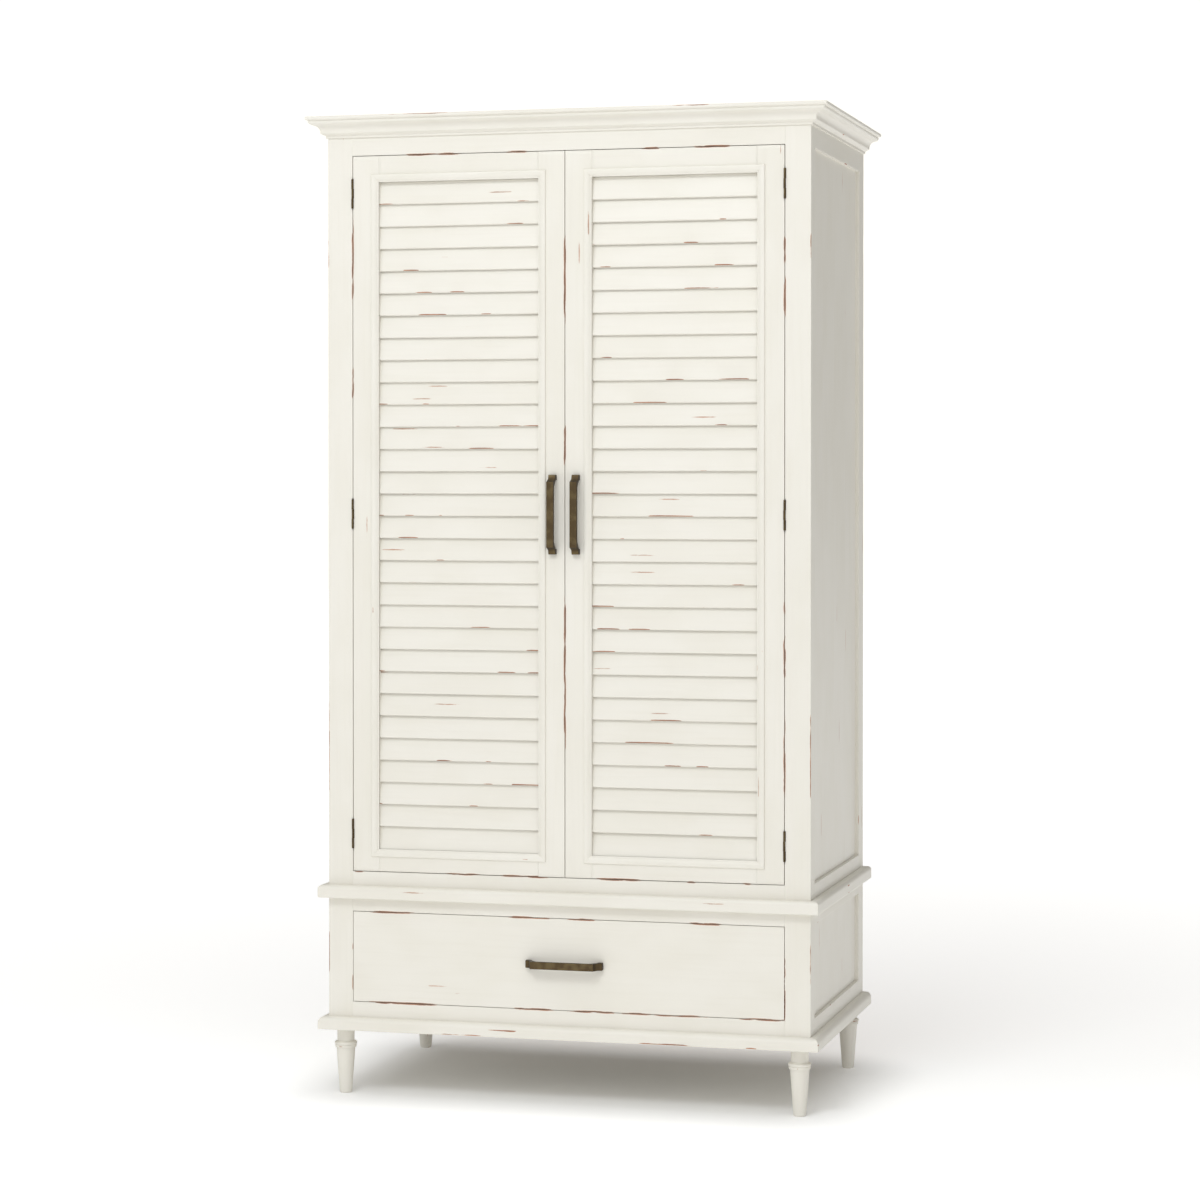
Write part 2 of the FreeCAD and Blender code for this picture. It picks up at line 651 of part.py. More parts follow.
def slats():
    x0 = LIGHT_X0 - SLAT_HOUSING + GLUE_GAP
    x1 = LIGHT_X1 + SLAT_HOUSING - GLUE_GAP
    return [slat_solid(i, x0, x1) for i in range(SLAT_COUNT)]


def slat_slots():
    x0 = LIGHT_X0 - SLAT_HOUSING
    x1 = LIGHT_X1 + SLAT_HOUSING
    return [slat_solid(i, x0, x1, GLUE_GAP) for i in range(SLAT_COUNT)]


def bead_section():
    """Across from the outer edge of the bead, and forward of the door's face."""
    seat = BEAD_W - REBATE_W
    return [(0, 0), (0, BEAD_PROUD - BEAD_EDGE_R),
            (BEAD_EDGE_R, BEAD_PROUD, quarter_bulge(BEAD_EDGE_R)), (seat, BEAD_PROUD),
            (BEAD_W, -BEAD_SINK, BEAD_BULGE), (BEAD_W, -REBATE_D), (seat, -REBATE_D), (seat, 0)]


def bead_lengths():
    """Four mitred lengths of bead round the slats."""
    x0, x1 = LIGHT_X0 - BEAD_W, LIGHT_X1 + BEAD_W
    z0, z1 = LIGHT_Z0 - BEAD_W, LIGHT_Z1 + BEAD_W
    corners = [(x0, z0), (x1, z0), (x1, z1), (x0, z1)]
    inner = [(LIGHT_X0, LIGHT_Z0), (LIGHT_X1, LIGHT_Z0),
             (LIGHT_X1, LIGHT_Z1), (LIGHT_X0, LIGHT_Z1)]
    places = [lambda a, f: Vector(x0, FRONT - f, z0 + a),
              lambda a, f: Vector(x1 - a, FRONT - f, z0),
              lambda a, f: Vector(x0, FRONT - f, z1 - a),
              lambda a, f: Vector(x0 + a, FRONT - f, z0)]
    runs = [Vector(x1 - x0, 0, 0), Vector(0, 0, z1 - z0),
            Vector(x1 - x0, 0, 0), Vector(0, 0, z1 - z0)]
    lengths = []
    for i, (place, run) in enumerate(zip(places, runs)):
        j = (i + 1) % 4
        ring = [corners[i], corners[j], inner[j], inner[i]]
        points = [Vector(x, FRONT - 2 * BEAD_PROUD, z) for x, z in ring]
        wedge = Part.Face(Part.makePolygon(points + points[:1]))
        wedge = wedge.extrude(Vector(0, 2 * BEAD_PROUD + REBATE_D + 1, 0))
        lengths.append(outline(bead_section(), place).extrude(run).common(wedge))
    return lengths


def bead_rebate():
    return box(LIGHT_X0 - REBATE_W, LIGHT_X1 + REBATE_W, FRONT - 1, FRONT + REBATE_D,
               LIGHT_Z0 - REBATE_W, LIGHT_Z1 + REBATE_W)


def strike_limits():
    z1 = DOOR_HIGH - STOP_DROP - (CATCH_H - STRIKE_H) / 2
    return (CATCH_X - STRIKE_W / 2, CATCH_X + STRIKE_W / 2,
            FRONT + DOOR_T - PLATE_T, FRONT + DOOR_T, z1 - STRIKE_H, z1)


def door_pieces():
    """Every piece of the right door, by name."""
    back_y = FRONT + DOOR_T
    rails = [(LIGHT_X0, LIGHT_X1, FRONT, back_y, DOOR_Z0, LIGHT_Z0),
             (LIGHT_X0, LIGHT_X1, FRONT, back_y, LIGHT_Z1, DOOR_Z1)]
    meeting = box(DOOR_X0, LIGHT_X0, FRONT, back_y, DOOR_Z0, DOOR_Z1)
    hinged = box(LIGHT_X1, DOOR_X1, FRONT, back_y, DOOR_Z0, DOOR_Z1)
    sockets = mortises(rails, "x") + slat_slots() + [bead_rebate()]
    pull_at = Vector(DOOR_PULL_X, FRONT, DOOR_PULL_Z)
    upright = Vector(0, 0, 1)
    strike = box(*strike_limits())
    meeting = meeting.cut(sockets + pull_holes(upright, pull_at, DOOR_T) + [strike])
    hinge_cuts = [cut for z in HINGE_ZS
                  for cut in [leaf_recess(z, -1), knuckle_notch(z)] + hinge_screws(z, -1)]
    hinged = hinged.cut(sockets + hinge_cuts)
    top_and_bottom = [tenoned(bounds, "x").cut([bead_rebate(), strike]) for bounds in rails]
    return {
        "stiles": [meeting, hinged],
        "rails": top_and_bottom,
        "bead": bead_lengths(),
        "slats": slats(),
        "pull": [bar_pull(upright, pull_at)],
        "pull_screws": pull_screws(upright, pull_at, DOOR_T),
        "hinge_leaves": [hinge_leaf(z, -1) for z in HINGE_ZS],
        "hinge_screws": [screw for z in HINGE_ZS for screw in hinge_screws(z, -1)],
        "strike_plate": [strike],
    }


def make_doors():
    for piece, solids in door_pieces().items():
        export("right_door_" + piece, *solids)
        export("left_door_" + piece, *mirrored(solids))


# ---- drawer ------------------------------------------------------------------------
def make_drawer():
    """A box on wooden runners, behind a flat front set flush in its opening."""
    side_x = OPENING_X - GUIDE_W - DRAWER_SIDE_CLEARANCE
    inner_x = side_x - DRAWER_SIDE_T
    front_back = FRONT + DRAWER_FRONT_T
    back_y = FRONT + DRAWER_L
    low = DRAWER_LOW + DRAWER_RUN_CLEARANCE
    bottom_z = low + DRAWER_BOTTOM_RAISE
    reach = DRAWER_GROOVE_D - GLUE_GAP
    bottom_limits = (-inner_x - reach, inner_x + reach, front_back - reach, back_y,
                     bottom_z, bottom_z + DRAWER_BOTTOM_T)
    groove = box(*grown(bottom_limits, GLUE_GAP, GLUE_GAP, GLUE_GAP))
    pull_at = Vector(0, FRONT, (DRAWER_LOW + DRAWER_HIGH) / 2)
    sideways = Vector(1, 0, 0)

    face_x = OPENING_X - DRAWER_GAP
    front = box(-face_x, face_x, FRONT, front_back,
                DRAWER_LOW + DRAWER_GAP, DRAWER_HIGH - DRAWER_GAP)
    export("drawer_front", front.cut([groove] + pull_holes(sideways, pull_at, DRAWER_FRONT_T)))
    side = box(inner_x, side_x, front_back, back_y, low, low + DRAWER_SIDE_H).cut(groove)
    export("drawer_sides", side, *mirrored([side]))
    back_low = bottom_z + DRAWER_BOTTOM_T + GLUE_GAP
    export("drawer_back", box(-inner_x, inner_x, back_y - DRAWER_SIDE_T, back_y,
                              back_low, back_low + DRAWER_BACK_H))
    export("drawer_bottom", box(*bottom_limits))
    export("drawer_pull", bar_pull(sideways, pull_at))
    export("drawer_pull_screws", *pull_screws(sideways, pull_at, DRAWER_FRONT_T))


def make_drawer_runners():
    """Runners with side guides under the drawer, and kickers above its sides."""
    runner = box(OPENING_X - RUNNER_W, OPENING_X, RAIL_BACK, BACK_INNER,
                 DRAWER_LOW - RUNNER_H, DRAWER_LOW)
    guide = box(OPENING_X - GUIDE_W, OPENING_X, FRONT + DRAWER_FRONT_T + DOOR_SEAT,
                BACK_INNER, DRAWER_LOW, DRAWER_LOW + GUIDE_H)
    runner = runner.fuse(guide).removeSplitter()
    export("drawer_runners", runner, *mirrored([runner]))
    side_top = DRAWER_LOW + DRAWER_RUN_CLEARANCE + DRAWER_SIDE_H
    kicker = box(OPENING_X - KICKER_W, OPENING_X, RAIL_BACK, BACK_INNER,
                 side_top + KICKER_CLEARANCE, DRAWER_HIGH + KICKER_LAP)
    export("drawer_kickers", kicker, *mirrored([kicker]))


# ---- inside fittings ---------------------------------------------------------------
def make_wardrobe_fittings():
    """Shelf cleats, hanging rod with its sockets, door stop and magnetic catches."""
    cleat_x1 = SIDE_INNER_X
    cleat_x0 = cleat_x1 - CLEAT_T
    cleat = box(cleat_x0, cleat_x1, FRONT + FRONT_POST_D, BACK - BACK_POST_D,
                SHELF_Z - CLEAT_H, SHELF_Z)
    export("shelf_cleats", cleat, *mirrored([cleat]))

    rod_y = (RAIL_BACK + BACK_INNER) / 2
    rod_z = SHELF_Z - ROD_DROP
    inward = Vector(-1, 0, 0)
    socket = rod(SOCKET_R, SOCKET_T, Vector(cleat_x0, rod_y, rod_z), inward)
    hollow_start = Vector(cleat_x0 - SOCKET_FLOOR, rod_y, rod_z)
    hollow = rod(ROD_R + ROD_CLEARANCE, SOCKET_T, hollow_start, inward)
    slot = box(cleat_x0 - SOCKET_T - 1, cleat_x0 - SOCKET_FLOOR,
               rod_y - ROD_R - ROD_CLEARANCE, rod_y + ROD_R + ROD_CLEARANCE,
               rod_z, rod_z + SOCKET_R)
    socket = socket.cut([hollow, slot])
    export("rod_sockets", socket, *mirrored([socket]))
    half = cleat_x0 - SOCKET_FLOOR - ROD_CLEARANCE
    export("hanging_rod", rod(ROD_R, 2 * half, Vector(-half, rod_y, rod_z), Vector(1, 0, 0)))

    stop_low = DOOR_HIGH - STOP_DROP
    export("door_stop", box(-OPENING_X, OPENING_X, RAIL_BACK, RAIL_BACK + STOP_D,
                            stop_low, DOOR_HIGH + BOARD_T))
    catch = box(CATCH_X - CATCH_W / 2, CATCH_X + CATCH_W / 2, RAIL_BACK,
                RAIL_BACK + CATCH_D, stop_low - CATCH_H, stop_low)
    export("catch_bodies", catch, *mirrored([catch]))


def main():
    os.makedirs("parts", exist_ok=True)
    make_posts()
    make_rails()
    make_panels()
    make_boards()
    make_mouldings()
    make_feet()
    make_frame_hinges()
    make_doors()
    make_drawer()
    make_drawer_runners()
    make_wardrobe_fittings()


main()
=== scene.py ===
# %% [markdown]
# # A painted armoire, built around its own joinery
#
# The design of this cupboard is fixed already: every post, rail, slat and hinge pin has its place.
# What is left is the work of a painter and of many years of use. Each piece of wood is cut again
# here with softened, knocked edges, and gets a coat of cream paint that has rubbed through.
#
# The first step loads that design. Everything later takes its place from it, in metres.

# %% Load the design
import json
import math
import bmesh
import bpy
import numpy as np
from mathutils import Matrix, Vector
from mathutils.kdtree import KDTree

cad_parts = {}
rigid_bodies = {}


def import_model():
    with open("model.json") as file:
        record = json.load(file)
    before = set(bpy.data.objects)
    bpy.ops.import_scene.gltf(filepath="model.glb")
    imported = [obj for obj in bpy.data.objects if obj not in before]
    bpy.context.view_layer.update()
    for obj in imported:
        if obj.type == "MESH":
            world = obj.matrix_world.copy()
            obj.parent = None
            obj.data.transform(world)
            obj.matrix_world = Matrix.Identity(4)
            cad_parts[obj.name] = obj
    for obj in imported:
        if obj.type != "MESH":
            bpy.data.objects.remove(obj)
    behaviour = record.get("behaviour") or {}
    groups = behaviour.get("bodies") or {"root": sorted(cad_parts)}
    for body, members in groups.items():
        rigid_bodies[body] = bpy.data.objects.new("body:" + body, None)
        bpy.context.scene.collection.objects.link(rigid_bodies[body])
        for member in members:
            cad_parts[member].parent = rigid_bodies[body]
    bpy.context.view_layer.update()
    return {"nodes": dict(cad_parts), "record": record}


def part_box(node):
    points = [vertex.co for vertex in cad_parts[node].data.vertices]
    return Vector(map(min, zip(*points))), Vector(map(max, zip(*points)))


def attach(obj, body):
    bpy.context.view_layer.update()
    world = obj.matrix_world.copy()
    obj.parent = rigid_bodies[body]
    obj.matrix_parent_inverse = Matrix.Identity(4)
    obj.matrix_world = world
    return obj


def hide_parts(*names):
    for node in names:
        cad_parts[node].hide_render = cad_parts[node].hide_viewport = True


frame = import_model()
MM = 0.001

# %% [markdown]
# ## Finding each solid of a node
#
# Some nodes hold several solids, such as thirty slats. A mesh has no list of its solids, but the
# faces of one solid share points with each other and with nothing else. Joining points that lie
# in the same place, and then following shared faces, finds each solid and the box around it.

# %% The box of every solid in a node
def solid_boxes(node):
    """Lowest and highest corner of each separate solid of a node, lowest and leftmost first."""
    mesh = frame["nodes"][node].data
    places = np.array([v.co for v in mesh.vertices])
    _, joined = np.unique(np.round(places, 6), axis=0, return_inverse=True)
    joined = joined.ravel()
    leader = list(range(joined.max() + 1))

    def find(i):
        while leader[i] != i:
            leader[i] = leader[leader[i]]
            i = leader[i]
        return i

    for face in mesh.polygons:
        first, *others = [find(joined[v]) for v in face.vertices]
        for other in others:
            leader[find(other)] = find(first)
    groups = np.array([find(i) for i in joined])
    boxes = [(places[groups == g].min(0), places[groups == g].max(0)) for g in np.unique(groups)]
    return sorted(boxes, key=lambda b: (round(b[0][2], 4), round(b[0][0], 4)))


print("slats on each door:", len(solid_boxes("left_door_slats")))

# %% [markdown]
# ## Wear that has a shape
#
# Paint goes first where hands and knees touch: along the arrises, in long thin chips. A chip isn't
# only a colour. The wood under it is knocked back a little too, so the edge itself is uneven.
#
# Each arris gets its own line of soft random numbers along its length. Where that line is high,
# the edge is pressed in by a fraction of a millimetre, and the same number is kept on the mesh as
# the attribute `rub`. The paint reads it later, so the chips and the dents fall together. Because
# it belongs to the mesh, the wear looks the same from every side.

# %% Soft random lines
def soft_line(rng, places, period):
    """Smooth random values from 0 to 1 along a line, changing about once per period."""
    knots = rng.random(int(places.max() / period) + 4)
    at = places / period + 1
    i = at.astype(int)
    t = at - i
    t = t * t * (3 - 2 * t)
    return knots[i] * (1 - t) + knots[i + 1] * t


def rubbed(rng, places, share, streaks=()):
    """How far an arris is rubbed through along its length.

    `share` is about the part that is worn at random. `streaks` adds long rubs of its own, each
    one (middle, length) in metres from the low end.
    """
    mixed = 0.55 * soft_line(rng, places, 0.11) + 0.45 * soft_line(rng, places, 0.036)
    low = np.quantile(mixed, 1 - share)
    line = np.clip((mixed - low) / 0.17, 0, 1) if share else np.zeros(len(places))
    for middle, length in streaks:
        inside = np.clip(1 - np.abs(places - middle) / (length / 2), 0, 1)
        uneven = 0.35 + 0.65 * soft_line(rng, places, 0.022)
        line = np.maximum(line, np.minimum(inside * 1.8, 1) * uneven)
    return line


sample = rubbed(np.random.default_rng(1), np.linspace(0, 2, 401), 0.1, [(1.0, 0.3)])
print("worn share of a two metre sample edge:", round(float((sample > 0.4).mean()), 3))


# %% [markdown]
# ## One builder for everything with a constant section
#
# Boards, slats and mouldings are all a section pushed along a length. So one function makes them
# all. It takes the section as a closed loop of points, says which points lie on an arris, and a
# rule that puts a section point at a place along the length. A mitre is then just a length that
# depends on how far out the section point lies.

# %% A closed section
class Section:
    """A closed loop of points, with the arris that each one belongs to and its share of wear."""

    def __init__(self):
        self.points, self.arris, self.weight = [], [], []

    def add(self, u, v, arris=-1, weight=0.0):
        self.points.append((u, v))
        self.arris.append(arris)
        self.weight.append(weight)


def inward_normals(points):
    """Unit directions into the section at each of its points."""
    ahead = np.roll(points, -1, 0) - points
    back = points - np.roll(points, 1, 0)
    area = np.sum(points[:, 0] * np.roll(points[:, 1], -1) - np.roll(points[:, 0], -1) * points[:, 1])
    turn = 1.0 if area > 0 else -1.0
    normal = np.zeros_like(points)
    for edge in (ahead, back):
        size = np.maximum(np.linalg.norm(edge, axis=1), 1e-9)[:, None]
        normal += turn * np.stack([-edge[:, 1], edge[:, 0]], 1) / size
    return normal / np.maximum(np.linalg.norm(normal, axis=1), 1e-9)[:, None]


square = np.array([(0.0, 0.0), (1.0, 0.0), (1.0, 1.0), (0.0, 1.0)])
print("inward from the first corner of a square:", inward_normals(square)[0].round(3))

# %% [markdown]
# ## Pushing the section along
#
# Rings of points are placed about every 8 mm, with a small random shift so that no two chips start
# in step. Each ring is the section, pressed in where the arris is rubbed. An Array or a Curve with
# a bevel could also run a section along a line, but neither can press single arrises in and keep a
# number for the paint, so the points are computed with numpy and handed to the mesh in one go.

# %% Push a section along a length
DENT = 0.6 * MM        # how deep the worst knock goes
UNHARMED = 0.3         # rub below this only thins the paint
STEP = 8 * MM          # spacing of the rings of points along a length


def push(section, place, length, seed, wear=None, sway=0.0, shrink=0.8 * MM, start=0.0):
    """Points, faces, rub and grain of a section pushed along a length.

    `place(u, v, s)` puts section point (u, v) at share s of the length, from 0 to 1.
    `wear` gives each arris the share of its length that is rubbed at random, or that share and
    a list of streaks. Streaks are placed in the object's frame, where the length has its low end
    at `start`.
    """
    rng = np.random.default_rng(seed)
    loop = np.array(section.points)
    arris = np.array(section.arris)
    weight = np.array(section.weight)
    count = max(2, int(round(length / STEP)))
    along = np.linspace(0, length, count + 1)
    along[1:-1] += rng.uniform(-0.3, 0.3, count - 1) * STEP
    along = np.concatenate([[0], [min(shrink, length / 4)], along[1:-1],
                            [length - min(shrink, length / 4)], [length]])
    inward = inward_normals(loop)
    rub = np.zeros((len(along), len(loop)))
    for k in range(arris.max() + 1):
        share = (wear or {}).get(k, 0.0)
        share, streaks = share if isinstance(share, tuple) else (share, ())
        line = rubbed(rng, along, share, [(at - start, long) for at, long in streaks])
        rub[:, arris == k] = line[:, None] * weight[None, arris == k]
    drift = (soft_line(rng, along, 0.06) - 0.5) * sway
    offset = rng.uniform(0, 50, 3)
    rings, grain = [], []
    for i, s in enumerate(along):
        ring = loop + inward * (np.maximum(rub[i] - UNHARMED, 0) * DENT)[:, None]
        if i in (0, len(along) - 1):
            ring = ring + inward * shrink
        ring = ring + inward * drift[i] * weight[:, None]
        rings.append(place(ring[:, 0], ring[:, 1], s / length))
        grain.append(np.stack([np.full(len(loop), s), loop[:, 0], loop[:, 1]], 1) + offset)
    n, m = len(loop), len(along)
    faces = [(i * n + j, i * n + (j + 1) % n, (i + 1) * n + (j + 1) % n, (i + 1) * n + j)
             for i in range(m - 1) for j in range(n)]
    faces += [tuple(range(n))[::-1], tuple(range((m - 1) * n, m * n))]
    return np.concatenate(rings), faces, rub.ravel(), np.concatenate(grain)


print("rings on a metre of wood:", int(1 / STEP) + 1)

# %% [markdown]
# ## From numbers to a piece that rides on the frame
#
# Several lengths can go into one object, such as the thirty slats of a door. The joined mesh keeps
# two attributes: `rub`, and `grain`, which measures along the fibres, so that brush marks and wood
# grain always follow the length of their own board.

# %% Make one object from many lengths
def fix_outside(mesh):
    """Turn every closed part so that its faces look outwards."""
    work = bmesh.new()
    work.from_mesh(mesh)
    bmesh.ops.recalc_face_normals(work, faces=work.faces)
    work.to_mesh(mesh)
    work.free()


def keep_edges_crisp(mesh, sharp):
    """Shade smoothly, except over edges that turn by more than `sharp` degrees."""
    mesh.polygons.foreach_set("use_smooth", [True] * len(mesh.polygons))
    mesh.set_sharp_from_angle(angle=math.radians(sharp))


def keep_wear(mesh, rub, grain):
    """Store the wear and the direction of the fibres on the points of a mesh."""
    worn = mesh.attributes.new("rub", "FLOAT", "POINT")
    worn.data.foreach_set("value", np.asarray(rub, np.float32))
    fibres = mesh.attributes.new("grain", "FLOAT_VECTOR", "POINT")
    fibres.data.foreach_set("vector", np.asarray(grain, np.float32).ravel())


def make_piece(name, parts, material, body, replaces, sharp=38):
    """Join the lengths into one mesh that rides on a body and stands for its design nodes."""
    points, faces, rub, grain = [], [], [], []
    start = 0
    for p, f, r, g in parts:
        points.append(p)
        faces += [tuple(i + start for i in face) for face in f]
        rub.append(r)
        grain.append(g)
        start += len(p)
    mesh = bpy.data.meshes.new(name)
    mesh.from_pydata(np.concatenate(points).tolist(), [], faces)
    mesh.update()
    keep_wear(mesh, np.concatenate(rub), np.concatenate(grain))
    fix_outside(mesh)
    keep_edges_crisp(mesh, sharp)
    mesh.materials.append(material)
    piece = bpy.data.objects.new(name, mesh)
    bpy.context.scene.collection.objects.link(piece)
    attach(piece, body)
    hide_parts(*replaces)
    print(f"{name}: {len(parts)} lengths, {len(mesh.polygons)} faces, on {body}")
    return piece


# %% [markdown]
# ## The eased board
#
# A planed board is a box, but no real arris is sharp: a plane and a hundred coats of wax or paint
# leave it round. The section is a rectangle whose corners are small arcs, with one more point a
# few millimetres from each corner. Those points hold the flat faces flat, and let a chip spread a
# little way on to the face.

# %% A board with eased arrises
def board_section(u0, u1, v0, v1, radius, reach):
    """A rectangle with rounded corners; corners are 0 to 3, from low u, low v, round by high u."""
    section = Section()
    corners = ((u0, v0, 180), (u1, v0, 270), (u1, v1, 0), (u0, v1, 90))
    reach = min(reach, 0.45 * (u1 - u0), 0.45 * (v1 - v0))
    for k, (u, v, turn) in enumerate(corners):
        su = 1 if u == u0 else -1
        sv = 1 if v == v0 else -1
        near_v, near_u = (u, v + sv * reach), (u + su * reach, v)
        before, after = (near_v, near_u) if k in (0, 2) else (near_u, near_v)
        section.add(*before, k, 0.0)
        for step in (0, 45, 90):
            angle = math.radians(turn + step)
            section.add(u + su * radius + radius * math.cos(angle),
                        v + sv * radius + radius * math.sin(angle), k, 1.0)
        section.add(*after, k, 0.0)
    return section


AXES = {"x": (1, 2, 0), "y": (0, 2, 1), "z": (0, 1, 2)}
SAWN_END = 0.1 * MM    # how little the sawn ends are eased


def board(low, high, grain, seed, wear=None, radius=0.6 * MM, reach=2.8 * MM):
    """A straight board between two corners, with its fibres along x, y or z."""
    iu, iv, il = AXES[grain]
    section = board_section(low[iu], high[iu], low[iv], high[iv], radius, reach)

    def place(u, v, s):
        out = np.zeros((len(u), 3))
        out[:, iu], out[:, iv] = u, v
        out[:, il] = low[il] + (high[il] - low[il]) * s
        return out

    return push(section, place, high[il] - low[il], seed, wear, shrink=SAWN_END, start=low[il])


trial = board((0, 0, 0), (0.1, 0.03, 1.0), "z", 1)
print("a metre of board has", len(trial[0]), "points and", len(trial[1]), "faces")


# %% [markdown]
# ## Rubbed cream paint
#
# Old painted furniture shows its layers: a satin cream coat with fine brush marks along the
# fibres, a thin pinkish edge where the primer shows, and reddish wood in the chips.
#
# A single noise would give spots. Chips on wood are torn along the fibres, so every noise is
# stretched by the `grain` attribute. Adding a fine and a coarse noise to `rub` before the cut-off
# gives a ragged outline to each chip, and a second, rarer mask leaves small dashes on the faces.

# %% Small helpers for shader nodes
def new_material(name):
    material = bpy.data.materials.new(name)
    material.use_nodes = True
    nodes = material.node_tree.nodes
    return material, nodes, material.node_tree.links, nodes["Principled BSDF"]


def stretched_noise(nodes, links, along, across, detail=3.0, rough=0.55, shift=0.0):
    """Noise whose spots are 1/along metres long and 1/across metres wide."""
    source = nodes.new("ShaderNodeAttribute")
    source.attribute_name = "grain"
    mapping = nodes.new("ShaderNodeMapping")
    mapping.inputs["Scale"].default_value = (along, across, across)
    mapping.inputs["Location"].default_value = (shift, shift * 1.7, -shift)
    noise = nodes.new("ShaderNodeTexNoise")
    noise.inputs["Scale"].default_value = 1.0
    noise.inputs["Detail"].default_value = detail
    noise.inputs["Roughness"].default_value = rough
    links.new(source.outputs["Vector"], mapping.inputs["Vector"])
    links.new(mapping.outputs["Vector"], noise.inputs["Vector"])
    return noise.outputs["Fac"]


def math_node(nodes, links, operation, first, second=None, third=None):
    node = nodes.new("ShaderNodeMath")
    node.operation = operation
    for socket, value in zip(node.inputs, (first, second, third)):
        if isinstance(value, (int, float)):
            socket.default_value = value
        elif value is not None:
            links.new(value, socket)
    return node.outputs[0]


def ramp(nodes, links, source, low, high):
    """0 below low, 1 above high, smooth between."""
    node = nodes.new("ShaderNodeMapRange")
    node.interpolation_type = "SMOOTHSTEP"
    node.inputs["From Min"].default_value = low
    node.inputs["From Max"].default_value = high
    links.new(source, node.inputs["Value"])
    return node.outputs["Result"]


def mix_colour(nodes, links, factor, first, second):
    node = nodes.new("ShaderNodeMix")
    node.data_type = "RGBA"
    links.new(factor, node.inputs["Factor"])
    for socket, value in ((node.inputs[6], first), (node.inputs[7], second)):
        if isinstance(value, tuple):
            socket.default_value = (*value, 1.0)
        else:
            links.new(value, socket)
    return node.outputs[2]


print("shader helpers: noise along the fibres, maths, ramp and mix")

# %% [markdown]
# ## Lone dashes
#
# Here and there the paint is missing from the middle of a slat, in one thin dash. A second noise
# would scatter specks evenly, which looks like dirt. Voronoi cells, stretched along the fibres,
# give each dash its own cell, and the cell's random colour decides whether it gets a dash at all.

# %% Lone dashes
DASH_SHARE = 0.30      # of the cells may hold a dash


def dashes(nodes, links, along, across, size, share, ragged):
    """Thin dashes along the fibres, at one random place in a share of stretched cells."""
    source = nodes.new("ShaderNodeAttribute")
    source.attribute_name = "grain"
    mapping = nodes.new("ShaderNodeMapping")
    mapping.inputs["Scale"].default_value = (along, across, across)
    cells = nodes.new("ShaderNodeTexVoronoi")
    cells.inputs["Scale"].default_value = 1.0
    links.new(source.outputs["Vector"], mapping.inputs["Vector"])
    links.new(mapping.outputs["Vector"], cells.inputs["Vector"])
    chosen = nodes.new("ShaderNodeSeparateColor")
    links.new(cells.outputs["Color"], chosen.inputs["Color"])
    kept = math_node(nodes, links, "LESS_THAN", chosen.outputs["Red"], share)
    uneven = math_node(nodes, links, "MULTIPLY_ADD", ragged, 0.14, cells.outputs["Distance"])
    spot = math_node(nodes, links, "SUBTRACT", 1.0, ramp(nodes, links, uneven, size * 0.6 + 0.06,
                                                         size + 0.07))
    return math_node(nodes, links, "MULTIPLY", kept, spot)


print("share of the cells that may hold a dash:", DASH_SHARE)

# %% [markdown]
# ## The cream coat over primer and bare wood
#
# The masks decide which layer shows, and the colours follow from them. `bare` is a little smaller
# than `primer`, so a thin pinkish rim runs round each chip. The same masks lower the surface in
# the bump, because a chip is a step down through the paint. The cream itself is nearly even: real
# brushed paint varies by a few hundredths only, and more would read as stain.

# %% The rubbed cream paint
CREAM_LIGHT = (0.812, 0.787, 0.722)
CREAM_WARM = (0.790, 0.763, 0.690)
CREAM_IN_THE_PORES = (0.70, 0.665, 0.575)
PRIMER = (0.66, 0.49, 0.40)
BARE_RED = (0.47, 0.215, 0.120)
BARE_DARK = (0.26, 0.110, 0.06)


